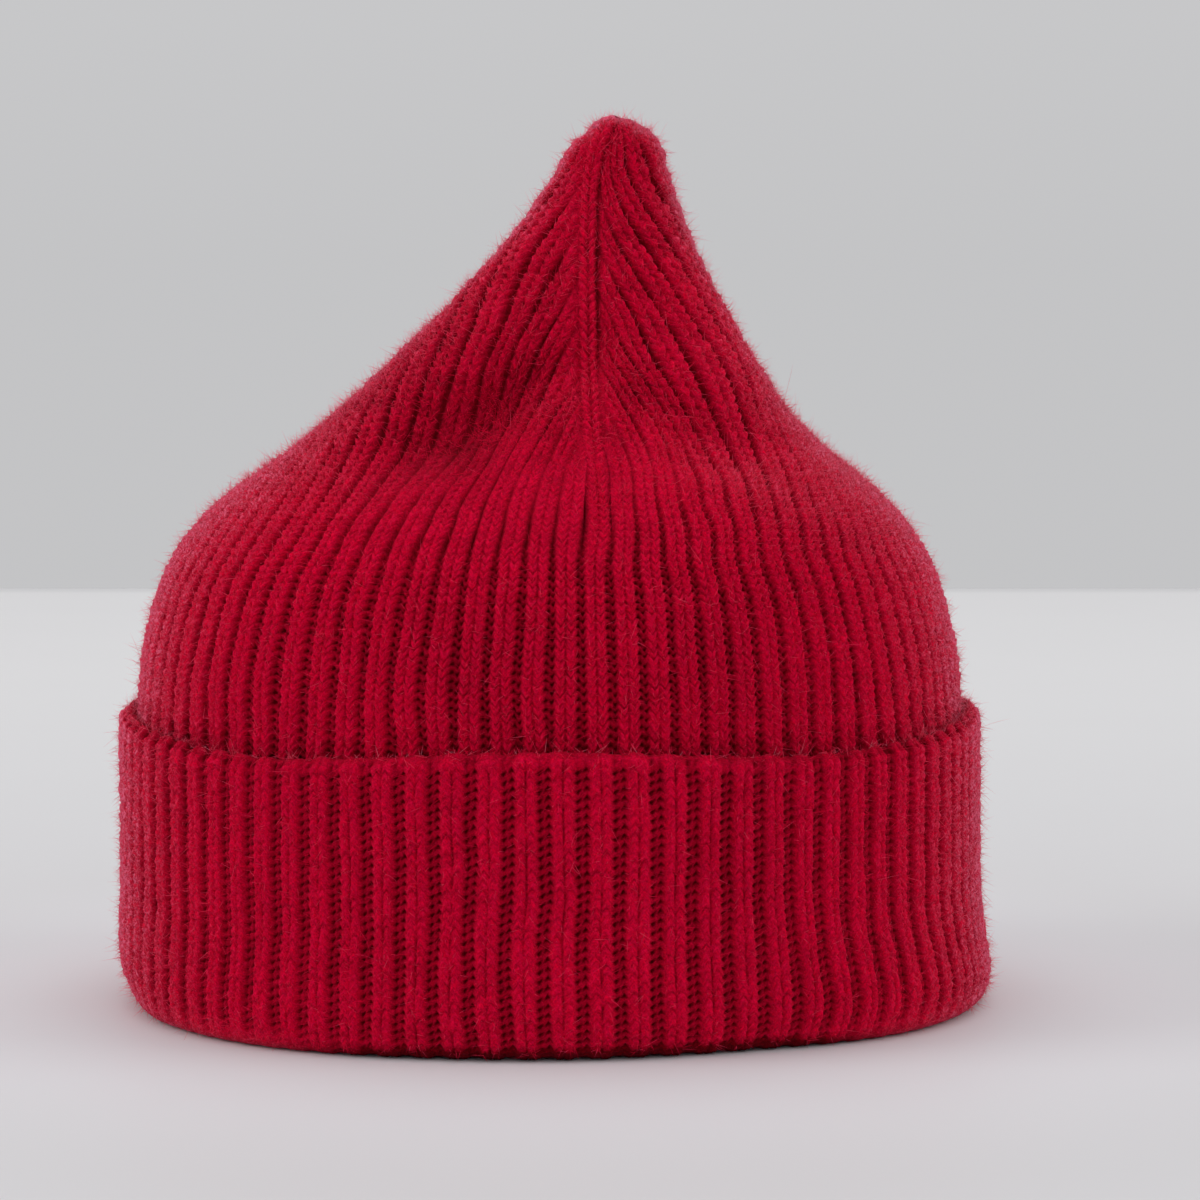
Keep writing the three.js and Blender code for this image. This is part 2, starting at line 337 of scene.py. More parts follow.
# the rib on each decrease line: half its width in degrees
_body_half = [float(body_angle(HALF * w + 0.5) - body_angle(HALF * w - 0.5)) / 2 for w in range(4)]
_cone = smooth(100, 116, LEVEL_Z)
_cloth_half = np.minimum(2.3 / PER_DEGREE, 40.0)
SPINE_HALF = [b * (1 - _cone) + _cloth_half * _cone for b in _body_half]
SPINE_AT = [body_angle(0.0) + softened(turned(FRONT_TURN), 1.5), None, None, None]


def crossing(table, wanted):
    """At each level, the rib whose line lies at the wanted angle."""
    return np.array([np.interp(wanted[i], table[i], FINE_RIB) for i in range(LEVELS)])


_cut = np.maximum(crossing(TABLES[0], SPINE_AT[0] + SPINE_HALF[0]), 0.5)
_edge = line_angle(TABLES[0], np.arange(LEVELS, dtype=float), HALF - softened(_cut, 2.0))
SPINE_AT[1] = _edge + SPINE_HALF[1]
_cut = np.minimum(crossing(TABLES[3], SPINE_AT[0] - SPINE_HALF[0]), HALF - 0.5)
_edge = line_angle(TABLES[3], np.arange(LEVELS, dtype=float), HALF - softened(_cut, 2.0)) + 360
SPINE_AT[3] = _edge - SPINE_HALF[3]
_middle = (SPINE_AT[1] + SPINE_AT[3]) / 2
SPINE_AT[2] = _middle + (1 - smooth(98, 150, LEVEL_Z)) * (float(body_angle(40.0)) - float(body_angle(20.0) + body_angle(60.0)) / 2)


def back_lines(w):
    low, high = SPINE_AT[w], SPINE_AT[w + 1]
    mid, wide = (low + high) / 2, high - low
    free = wide * PER_DEGREE / np.interp(LEVEL_Z, BACK_PITCH[:, 0], BACK_PITCH[:, 1])
    soft = 0.6
    count = -soft * np.logaddexp(-HALF / soft, -free / soft)
    count = np.where(LEVEL_Z < 98, HALF, count * 1.0)
    count = np.maximum(softened(count, 3.0), 0.8)
    own = body_angle(FINE_RIB + HALF * w)
    a, b = body_angle(HALF * w), body_angle(HALF * (w + 1))
    share = (own - (a + b) / 2) / (b - a) * 2
    v = (FINE_RIB[None, :] - HALF / 2) / (count[:, None] / 2)
    lumpy = np.interp(v, (FINE_RIB - HALF / 2) / (HALF / 2), share) - v
    lumpy = np.where(np.abs(v) <= 1.1, lumpy, 0.0) * (1 - smooth(100, 120, LEVEL_Z))[:, None]
    return mid[:, None] + wide[:, None] / 2 * (v + lumpy)


TABLES[1], TABLES[2] = back_lines(1), back_lines(2)
TABLES[3] = TABLES[3] + 360


def surface(level, degrees):
    """Point and outward direction at a fractional level number and an angle."""
    at = np.interp(level, np.arange(LEVELS), LEVEL)
    angle = np.radians(degrees)
    low, high = np.maximum(at - 0.02, 0.0), np.minimum(at + 0.02, float(LAST))
    point = crown_point(at, angle)
    along = crown_point(at, angle + 0.01) - crown_point(at, angle - 0.01)
    up = crown_point(high, angle) - crown_point(low, angle)
    normal = np.cross(along, up)
    size = np.linalg.norm(normal, axis=-1, keepdims=True)
    normal = np.where(size > 1e-5, normal / np.maximum(size, 1e-9), np.array([0.0, 0.0, 1.0]))
    return point, normal, unit(up)


# ---------------------------------------------------------------------------
# one rib across: how each column of the mesh lies, and how high it stands through one stitch

SPOT_FIXED = np.array([-0.5, -0.25, 0, 0, 0, 0, 0, 0, 0, 0, 0, 0.25])
SPOT_EDGE = np.array([0, -0.5, -1, -0.75, -0.5, -0.25, 0, 0.25, 0.5, 0.75, 1, 0.5])
SPOT_LOOSE = np.array([0, -0.5, -1, -0.78, -0.49, -0.20, 0, 0.20, 0.49, 0.78, 1, 0.5])
LEAN = np.array([0.67, 0.42, 0.80, 0.40, 0.0, 0.40, 0.80, 0.40, 0.0, 0.40, 0.80, 0.92])
CREST = np.array([0, 0, 0.35, 0.9, 0.8, 1, 0.6, 1, 0.8, 0.9, 0.35, 0])

_half = {
    0: (-1.48, -1.42, -1.36, -1.42),   # middle of the valley
    1: (-2.60, -1.62, -1.15, -1.62),   # reverse stitches, with a small pit under each
    2: (-1.25, -0.88, -0.74, -1.00),   # outer edge of a wale
    3: (-0.80, -0.14, 0.00, -0.34),    # leg of a stitch
    4: (-0.70, -0.18, -0.20, -0.46),   # middle of a wale
    5: (-0.70, -0.10, 0.02, -0.30),    # leg of a stitch
    6: (-1.15, -0.88, -0.78, -0.98),   # between the two wales of a rib
}
STITCH = np.array([_half[k if k <= 6 else 12 - k] for k in range(12)])

# the band is looser: wider valleys and rounder, smoother wales
_loose = {
    0: (-1.38, -1.30, -1.24, -1.30),
    1: (-2.45, -1.45, -1.05, -1.45),
    2: (-0.90, -0.78, -0.68, -0.80),
    3: (-0.60, -0.14, -0.02, -0.26),
    4: (-0.52, -0.12, -0.08, -0.28),
    5: (-0.60, -0.14, -0.02, -0.26),
    6: (-1.16, -0.98, -0.88, -1.03),
}
LOOSE = np.array([_loose[k if k <= 6 else 12 - k] for k in range(12)])

# on the cone the stitches are large and rough, and the reverse ones are pulled out of sight
_rough = {
    0: (-2.35, -2.28, -2.26, -2.34),
    1: (-1.75, -1.55, -1.45, -1.62),
    2: (-1.30, -0.92, -0.78, -1.02),
    3: (-0.74, -0.14, 0.08, -0.36),
    4: (-0.58, -0.18, -0.10, -0.40),
    5: (-0.70, -0.12, 0.10, -0.32),
    6: (-1.32, -0.98, -0.82, -1.08),
}
ROUGH = np.array([_rough[k if k <= 6 else 12 - k] for k in range(12)])

# where the cloth is stretched or matted, a rib is one smooth band between thin grooves
_flat = (-1.10, -0.74, -0.32, -0.22, -0.18, -0.18, -0.26)
FLAT = np.array([_flat[k if k <= 6 else 12 - k] for k in range(12)])
_ease = (0.95, 0.90, 0.70, 0.45, 0.45, 0.45, 0.60)
EASE = np.array([_ease[k if k <= 6 else 12 - k] for k in range(12)])

# how much the flanks of a rib are in shadow where the cloth is seen sideways
_flank = (0.3, 1.0, 0.8, 0.15, 0.0, 0.0, 0.3)
FLANK = np.array([_flank[k if k <= 6 else 12 - k] for k in range(12)])

# the rib on a decrease line is one large stitch wide on the cone
_wide = {
    0: (-1.60, -1.50, -1.45, -1.55),
    1: (-1.70, -1.45, -1.35, -1.55),
    2: (-1.25, -0.85, -0.75, -1.00),
    3: (-0.62, 0.02, 0.10, -0.24),
    4: (-0.42, 0.26, 0.32, -0.02),
    5: (-0.58, 0.02, 0.10, -0.26),
    6: (-1.05, -0.62, -0.50, -0.80),
}
WIDE = np.array([_wide[k if k <= 6 else 12 - k] for k in range(12)])
WIDE_LEAN = np.array([0.80, 0.88, 0.95, 0.72, 0.48, 0.24, 0.0, 0.24, 0.48, 0.72, 0.95, 0.88])


def grid_faces(rows, cols, keep=None, flip=False):
    i = np.arange(rows * cols).reshape(rows, cols)
    quad = np.stack([i[:-1, :-1], i[:-1, 1:], i[1:, 1:], i[1:, :-1]], -1).reshape(-1, 4)
    if keep is not None:
        quad = quad[keep.reshape(-1)]
    return quad[:, ::-1] if flip else quad


def store(name, points, quads, uv=None, tint=None, broad=None, tris=None):
    """A mesh object from arrays, with unused corners dropped."""
    polys = [q for q in (quads, tris) if q is not None and len(q)]
    used = np.zeros(len(points), bool)
    for q in polys:
        used[q.reshape(-1)] = True
    renumber = np.cumsum(used) - 1
    mesh = bpy.data.meshes.new(name)
    pts = (points[used] * MM).astype(np.float32)
    mesh.vertices.add(len(pts))
    mesh.vertices.foreach_set("co", pts.reshape(-1))
    loops = np.concatenate([renumber[q].reshape(-1) for q in polys]).astype(np.int32)
    sizes = np.concatenate([np.full(len(q), q.shape[1]) for q in polys])
    starts = np.concatenate([[0], np.cumsum(sizes)[:-1]]).astype(np.int32)
    mesh.loops.add(len(loops))
    mesh.loops.foreach_set("vertex_index", loops)
    mesh.polygons.add(len(starts))
    mesh.polygons.foreach_set("loop_start", starts)
    mesh.update(calc_edges=True)
    mesh.validate()
    if uv is not None:
        layer = mesh.uv_layers.new(name="stitch")
        ids = np.zeros(len(mesh.loops), np.int32)
        mesh.loops.foreach_get("vertex_index", ids)
        layer.data.foreach_set("uv", uv[used][ids].astype(np.float32).reshape(-1))
    # depth: on the cloth, the stitch depth with painted shade added, which darkens the colour; on the fibres, how pale
    # each is. broad: the outward direction, its length the strength of the painted sheen.
    if tint is not None:
        attr = mesh.attributes.new("depth", "FLOAT", "POINT")
        attr.data.foreach_set("value", tint[used].astype(np.float32))
    if broad is not None:
        attr = mesh.attributes.new("broad", "FLOAT_VECTOR", "POINT")
        attr.data.foreach_set("vector", broad[used].astype(np.float32).reshape(-1))
    mesh.polygons.foreach_set("use_smooth", np.ones(len(mesh.polygons), bool))
    obj = bpy.data.objects.new(name, mesh)
    bpy.context.scene.collection.objects.link(obj)
    return obj


ROOTS = []   # places where loose fibres grow: point, outward, along the rib, weight


def knit_height(kind, phase, rib_no, course_no):
    """Height of the stitch pattern, with each stitch a little different."""
    rows = STITCH.shape[1]
    base = STITCH[kind, phase % rows]
    wale = np.where(kind < 6, 0, 1)
    own = chance(rib_no, wale, course_no, 11) - 0.5
    grain = chance(rib_no * 12 + kind, phase, 12) - 0.5
    return base + 0.36 * own * (CREST[kind] + 0.3) + 0.16 * grain * (CREST[kind] + 0.4)


# ---------------------------------------------------------------------------
# crown: four wedges between the decrease lines, each with the rib that runs up one line

def rows_per_stitch(w):
    return 4 if w in (0, 3) else 3


def phase_of(row, per):
    return np.array([0, 1, 2, 3])[row % 4] if per == 4 else np.array([0, 1, 3])[row % 3]


def way_up(degrees):
    """Length of cloth, in stitches, along a line that lies at these degrees at each level."""
    line = crown_point(LEVEL, np.radians(degrees))
    course = COURSE + (CONE_COURSE - COURSE) * smooth(100, 122, (LEVEL_Z[1:] + LEVEL_Z[:-1]) / 2)
    return np.concatenate([[0], np.cumsum(np.linalg.norm(np.diff(line, axis=0), axis=1) / course)])


def calm(level_z, degrees):
    """Where the cloth is pulled nearly flat beside the start of the front decreases."""
    turn = np.mod(degrees + 180, 360) - 180
    right = np.exp(-((turn + 69) / 9) ** 2 - ((level_z - 118) / 8) ** 2)
    left = np.exp(-((turn + 99) / 9) ** 2 - ((level_z - 121) / 6) ** 2)
    return 1 - 0.55 * right - 0.35 * left


def brow(z, degrees):
    """Where the cloth is stretched flat and smooth in front, under the cone."""
    turn = np.mod(degrees + 180, 360) - 180
    return np.exp(-((turn + 102) / 30) ** 4) * smooth(92, 104, z) * (1 - smooth(116, 126, z))


def hollow(z, degrees):
    """How deep in the hollow on the front left of the cone."""
    turn = np.mod(degrees + 180, 360) - 180
    return np.exp(-((turn + 112) / 20) ** 2 - ((z - 126) / 9) ** 2)


def slack(z, degrees):
    """Where the ribs on the front left of the cone sink into the cloth."""
    turn = np.mod(degrees + 180, 360) - 180
    return np.exp(-((turn + 113) / 16) ** 2 - ((z - 139) / 12) ** 2)


def painted_shade(z, degrees):
    """Painted shade: darker cloth on the cone, most of all in its hollow and on its left, in the brow under it, and
    close above the band.
    """
    turn = np.mod(degrees + 180, 360) - 180
    rise = spline(CUFF_EDGE[:, 1], row_at(CUFF_EDGE[:, 0], turn))[..., 0]
    gap = z - (CUFF_TOP + rise)
    left = smooth(-96, -108, turn) * smooth(106, 120, z) * smooth(168, 150, z)
    return -0.46 * smooth(110, 128, z) * smooth(192, 166, z) - 0.32 * left - 0.66 * hollow(z, degrees) - 0.48 * brow(z, degrees) - 0.55 * smooth(7.0, 0.2, gap)


def painted_sheen_weight(z, degrees):
    """Strength of the painted sheen: weak in the brow under the front of the cone, where the nap lies flat, and strong
    on the knob, where it stands up.
    """
    turn = np.mod(degrees + 180, 360) - 180
    flat = 0.94 * np.exp(-((turn + 99) / 38) ** 4) * smooth(88, 100, z) * (1 - smooth(122, 136, z))
    return (1 - flat) * (1 + 1.8 * smooth(150, 174, z))


def knob_folds(points, normal):
    """A crease down the front right of the knob, which stands a little higher on its left."""
    x, z = points[..., 0], points[..., 2]
    line = np.array([(16.6, 188.5), (18.4, 183.0), (20.6, 177.5), (22.6, 170.5)])
    best = np.full(x.shape, 99.0)
    for a, b in zip(line[:-1], line[1:]):
        d = b - a
        t = np.clip(((x - a[0]) * d[0] + (z - a[1]) * d[1]) / (d @ d), 0, 1)
        best = np.minimum(best, np.hypot(x - a[0] - t * d[0], z - a[1] - t * d[1]))
    front = smooth(-0.1, -0.5, normal[..., 1])
    crease = -1.15 * np.exp(-(best / 0.9) ** 2) * front
    top = smooth(160, 178, z)
    peak = 0.9 * np.exp(-((x - 11.6) / 2.6) ** 2 - ((z - 188) / 3.5) ** 2)
    shoulder = -1.3 * np.exp(-((x - 5.2) / 2.4) ** 2 - ((z - 185.6) / 2.2) ** 2)
    slope = -0.5 * np.exp(-((x - 19.5) / 3.0) ** 2 - ((z - 187.5) / 3.0) ** 2)
    return crease + peak + shoulder + slope + top * 0.30 * wander(x * 0.6, z * 0.5 + 3.0, 92)


def crown_wedge(w):
    table = TABLES[w]
    per_stitch = rows_per_stitch(w)
    steps = np.arange(LEVELS, dtype=float)
    low_edge = SPINE_AT[w] + SPINE_HALF[w]
    nxt = (w + 1) % 4
    high_edge = SPINE_AT[nxt] - SPINE_HALF[nxt] + (360 if w == 3 else 0)
    middle = (low_edge + high_edge) / 2
    tuck = 0.7 / PER_DEGREE
    low_cut = np.minimum(low_edge - tuck, middle)
    high_cut = np.maximum(high_edge + tuck, middle)
    low_cut, high_cut = np.minimum(low_cut, middle), np.maximum(high_cut, middle)
    closed = high_edge <= low_edge
    face = np.interp(LEVEL_Z, FACE[:, 0], FACE[:, 1])
    ribs = np.repeat(np.arange(1, HALF), 12)
    kinds = np.tile(np.arange(12), HALF - 1)
    ribs, kinds = np.append(ribs, HALF), np.append(kinds, 0)
    cols = len(ribs)
    lines, ways = [], []
    for c in range(cols):
        rib = ribs[c] + SPOT_FIXED[kinds[c]] + SPOT_EDGE[kinds[c]] * face
        stray = 0.11 * wander(ribs[c] * 0.35 + HALF * w * 0.35 + 0 * steps, CLIMB / 16.0, 21, 28) \
            + 0.05 * wander((ribs[c] + HALF * w) * 1.0 + 0.5 + 0 * steps, CLIMB / 6.5, 22, 80)
        stray = stray * max(0.0, min(1.0, (min(ribs[c], HALF - ribs[c]) - 0.4) / 2.0))
        line = line_angle(table, steps, rib + stray)
        lines.append(line)
        ways.append(way_up(np.clip(line, low_cut, high_cut)))
    rows = int(math.ceil(max(way[-1] for way in ways))) * per_stitch + 1
    row = np.arange(rows)
    course_row = row / per_stitch
    level = np.zeros((rows, cols))
    degrees = np.zeros((rows, cols))
    trim = np.zeros((rows, cols), bool)
    inside = np.zeros((rows, cols))
    nearer_low = np.zeros((rows, cols), bool)
    for c in range(cols):
        uneven = 0.22 * wander(course_row * 0.6, 0 * course_row + (ribs[c] + HALF * w) * 2.0 + (kinds[c] > 5), 71) * np.minimum(course_row / 4, 1)
        at = np.interp(course_row + LEAN[kinds[c]] + uneven, ways[c] + 1e-7 * steps, steps)
        level[:, c] = at
        line = np.interp(at, steps, lines[c])
        low, high = np.interp(at, steps, low_cut), np.interp(at, steps, high_cut)
        degrees[:, c] = np.clip(line, low, high)
        trim[:, c] = (line < low) | (line > high) | (np.interp(at, steps, closed.astype(float)) > 0.5)
        lo, hi = np.interp(at, steps, low_edge), np.interp(at, steps, high_edge)
        per = np.interp(at, steps, PER_DEGREE)
        inside[:, c] = np.minimum(degrees[:, c] - lo, hi - degrees[:, c]) * per
        nearer_low[:, c] = degrees[:, c] - lo < hi - degrees[:, c]
    points, normal, upward = surface(level, degrees)
    z = np.interp(level, steps, LEVEL_Z)
    tip_way = CLIMB[-1] - np.interp(level, steps, CLIMB)
    kind = kinds[None, :] + 0 * row[:, None]
    rib_no = ribs[None, :] + HALF * w + 0 * row[:, None]
    height = knit_height(kind, phase_of(row, per_stitch)[:, None] + 0 * kind, rib_no, row[:, None] // per_stitch + 0 * kind)
    tight = smooth(102, 120, z)
    height = height + (ROUGH[kind, phase_of(row, per_stitch)[:, None] + 0 * kind] - STITCH[kind, phase_of(row, per_stitch)[:, None] + 0 * kind]) * tight
    height = height + 0.22 * tight * (chance(rib_no, kind > 6, row[:, None] // per_stitch + 0 * kind, 15) - 0.5) * (CREST[kind] + 0.3)
    height = height * (1 - 0.15 * smooth(70, 62, z))
    height = height * (calm(z, degrees) if w in (0, 3) else 1.0)
    flat = brow(z, degrees)
    groove = FLAT[kind] * (1.55 - 0.79 * smooth(101, 116, z)) + 0.20 * wander(rib_no * 0.9 + kind * 0.11, course_row[:, None] * 0.7 + 0 * level, 97)
    height = height + (groove - height) * np.clip(EASE[kind] * (flat + 0.75 * hollow(z, degrees) + 0.55 * slack(z, degrees)), 0, 1)
    height = height + (-0.62 - height) * flat * smooth(109, 116, z) * smooth(2.0, 0.6, inside)
    # valleys fade out beside the rib that runs up the decrease line, and the ribs slip under it
    near = smooth(6.5, 1.5, inside) * smooth(104, 116, z)
    height = np.where(height < -0.55, -0.55 + (height + 0.55) * (1 - 0.72 * near), height)
    dive = smooth(1.1, -0.5, inside) * smooth(100, 112, z)
    height = height * (1 - dive) - np.where(nearer_low, 0.9 + 0.8 * smooth(132, 146, z), 0.9) * dive * (1 - 0.8 * flat)
    lump = 0.11 + 0.12 * smooth(104, 120, z)
    height = height + lump * wander((ribs[None, :] + HALF * w) * 0.9 + 0 * level, course_row[:, None] * 0.45 + 0 * level, 31, 72)
    height = height + 0.14 * wander(12 * ribs[None, :] * 0.23 + kinds[None, :] * 0.23 + 0 * level, course_row[:, None] * 0.9 + 5.0 * w, 33)
    height = height * smooth(0.3, 5.0, tip_way) - 0.4 * smooth(5.0, 0.3, tip_way)
    points = points + normal * (height + knob_folds(points, normal))[..., None]
    # From here height only sets the colour: painted shade is added on the cone, in its hollow and above the band, and
    # painted shadow on the rib flanks where the cloth is seen sideways. The length of broad is the strength of the
    # painted sheen.
    sideways = smooth(0.42, 0.80, np.abs(normal[..., 0]))
    height = height * (1 - 0.12 * smooth(102, 120, z)) + painted_shade(z, degrees) - 0.40 * sideways * FLANK[kind]
    broad = normal * painted_sheen_weight(z, degrees)[..., None]
    gone = trim[:-1, :-1] & trim[:-1, 1:] & trim[1:, 1:] & trim[1:, :-1]
    end = LEVELS - 1.001
    tip = (level[:-1, :-1] >= end) & (level[:-1, 1:] >= end)
    quads = grid_faces(rows, cols, keep=~(gone | tip))
    uv = np.stack([12.0 * rib_no + kind, course_row[:, None] + 0 * height], -1)
    ROOTS.append((points.reshape(-1, 3), normal.reshape(-1, 3), upward.reshape(-1, 3), (CREST[kind] * (1 - dive) * (~trim) * smooth(0.8, 5.0, tip_way) * (1 - 0.8 * flat) * (1 + 1.1 * smooth(95, 125, z))).reshape(-1)))
    return points.reshape(-1, 3), quads, uv.reshape(-1, 2), height.reshape(-1), broad.reshape(-1, 3)


def spine(w):
    """The rib that runs up the decrease line at the start of wedge w."""
    per_stitch = rows_per_stitch(w)
    steps = np.arange(LEVELS, dtype=float)
    centre, half = SPINE_AT[w], SPINE_HALF[w]
    face = np.interp(LEVEL_Z, FACE[:, 0], FACE[:, 1]) - 0.02
    kinds = np.append(np.arange(12), 0)
    sign = np.append(np.zeros(12), 1.0)
    cols = len(kinds)
    way = way_up(centre)
    rows = int(math.ceil(way[-1])) * per_stitch + 1
    row = np.arange(rows)
    course_row = row / per_stitch
    level = np.zeros((rows, cols))
    u = np.zeros((rows, cols))
    # the stitches widen above the shoulder
    wide_from = np.interp(116.0, LEVEL_Z, way)
    widen = smooth(wide_from - 4, wide_from + 3, course_row)
    for c in range(cols):
        lean = LEAN[kinds[c]] * (1 - widen) + WIDE_LEAN[kinds[c]] * widen
        at = np.interp(course_row + lean + 0.18 * wander(course_row * 0.7, 0 * course_row + w, 73), way + 1e-7 * steps, steps)
        level[:, c] = at
        spot = SPOT_FIXED[kinds[c]] + SPOT_EDGE[kinds[c]] * face + sign[c]
        u[:, c] = np.interp(at, steps, spot)
    z = np.interp(level, steps, LEVEL_Z)
    degrees = np.interp(level, steps, centre)
    degrees = degrees + u * 2 * np.interp(level, steps, half) * (1 + 0.12 * brow(z, degrees))
    points, normal, upward = surface(level, degrees)
    tip_way = CLIMB[-1] - np.interp(level, steps, CLIMB)
    kind = kinds[None, :] + 0 * row[:, None]
    rib_no = HALF * w + sign[None, :].astype(int) + 0 * row[:, None]
    height = knit_height(kind, phase_of(row, per_stitch)[:, None] + 0 * kind, rib_no, row[:, None] // per_stitch + 0 * kind)
    big = WIDE[kind, phase_of(row, per_stitch)[:, None] + 0 * kind] \
        + 0.34 * (chance(row[:, None] // per_stitch + 0 * kind, kind > 6, 77 + w) - 0.5) * (CREST[kind] + 0.2)
    height = height * (1 - widen[:, None]) + big * widen[:, None]
    height = height * (1 - 0.15 * smooth(70, 62, z))
    decreasing = smooth(112, 124, z)
    # a deeper fold runs along one side of the line high up, a shallow one along the other
    fold = decreasing * (0.1 + 0.9 * smooth(128, 146, z)) * (1 - 0.9 * smooth(172, 180, z))
    height = np.where(np.abs(u) > 0.3, height + decreasing * 0.35, height)
    weave = 0.06 * wander(course_row[:, None] * 0.45 + 0 * u, 0 * u + w, 94)
    fold = fold * (1 + 0.5 * smooth(148, 162, z)) * (0.75 + 0.45 * wander(course_row[:, None] * 0.7 + 0 * u, 0 * u + w, 95))
    height = height - 0.75 * fold * np.exp(-((u - 0.5 - weave) / 0.17) ** 2) + 0.25 * decreasing * np.exp(-((u + 0.5) / 0.16) ** 2)
    height = height - 0.25 * decreasing
    flat = brow(z, degrees)
    height = height + (FLAT[kind] * (1.55 - 0.79 * smooth(101, 116, z)) - height) * np.clip(EASE[kind] * flat, 0, 1)
    height = height + (-0.48 - height) * flat * smooth(109, 116, z) * smooth(0.30, 0.44, np.abs(u))
    height = height + 0.11 * wander(0 * u + 0.37 * w, course_row[:, None] * 0.45 + 0 * u, 31)
    height = height * smooth(0.3, 5.0, tip_way) - 0.2 * smooth(5.0, 0.3, tip_way)
    points = points + normal * (height + knob_folds(points, normal))[..., None]
    # From here height only sets the colour, with painted shade added on the cone, in its hollow and above the band. The
    # length of broad is the strength of the painted sheen.
    height = height * (1 - 0.12 * smooth(102, 120, z)) + painted_shade(z, degrees)
    broad = normal * painted_sheen_weight(z, degrees)[..., None]
    end = LEVELS - 1.001
    tip = (level[:-1, :-1] >= end) & (level[:-1, 1:] >= end)
    quads = grid_faces(rows, cols, keep=~tip)
    uv = np.stack([12.0 * rib_no + kind, course_row[:, None] + 0 * height], -1)
    ROOTS.append((points.reshape(-1, 3), normal.reshape(-1, 3), upward.reshape(-1, 3), (CREST[kind] * smooth(0.8, 5.0, tip_way) * (1 + 1.1 * smooth(95, 125, z))).reshape(-1)))
    return points.reshape(-1, 3), quads, uv.reshape(-1, 2), height.reshape(-1), broad.reshape(-1, 3)


def joined(parts):
    points, quads, uv, tint, broad, n = [], [], [], [], [], 0
    for p, q, m, d, b in parts:
        points.append(p)
        quads.append(q + n)
        uv.append(m)
        tint.append(d)
        broad.append(b)
        n += len(p)
    return tuple(np.concatenate(v) for v in (points, quads, uv, tint, broad))


pieces = []
for w in range(4):
    p, q, m, d, b = joined([crown_wedge(w), spine(w)])
    gore = store("crown_gore_%d" % (w + 1), p, q, uv=m, tint=d, broad=b)
    pieces.append((gore, "crown"))

# ---------------------------------------------------------------------------
# cuff: over the upper edge, down the face, round the fold

_fine = np.linspace(0, len(CUFF_PROFILE) - 1, 3401)
_prof = spline(CUFF_PROFILE, _fine)
_way = np.concatenate([[0], np.cumsum(np.hypot(np.diff(_prof[:, 0]), np.diff(_prof[:, 1])))])
TOP_WAY = float(np.interp(3.0, _fine, _way))       # at the very top of the edge
FOOT_WAY = float(np.interp(13.0, _fine, _way))     # where the fold reaches the table
END_WAY = float(_way[-1])


def cuff_at(way, rib):
    prof = [np.interp(way, _way, _prof[:, k]) for k in range(3)]
    return cuff_point(prof[0], prof[1], prof[2], angle_of(CUFF_COUNTER, rib))


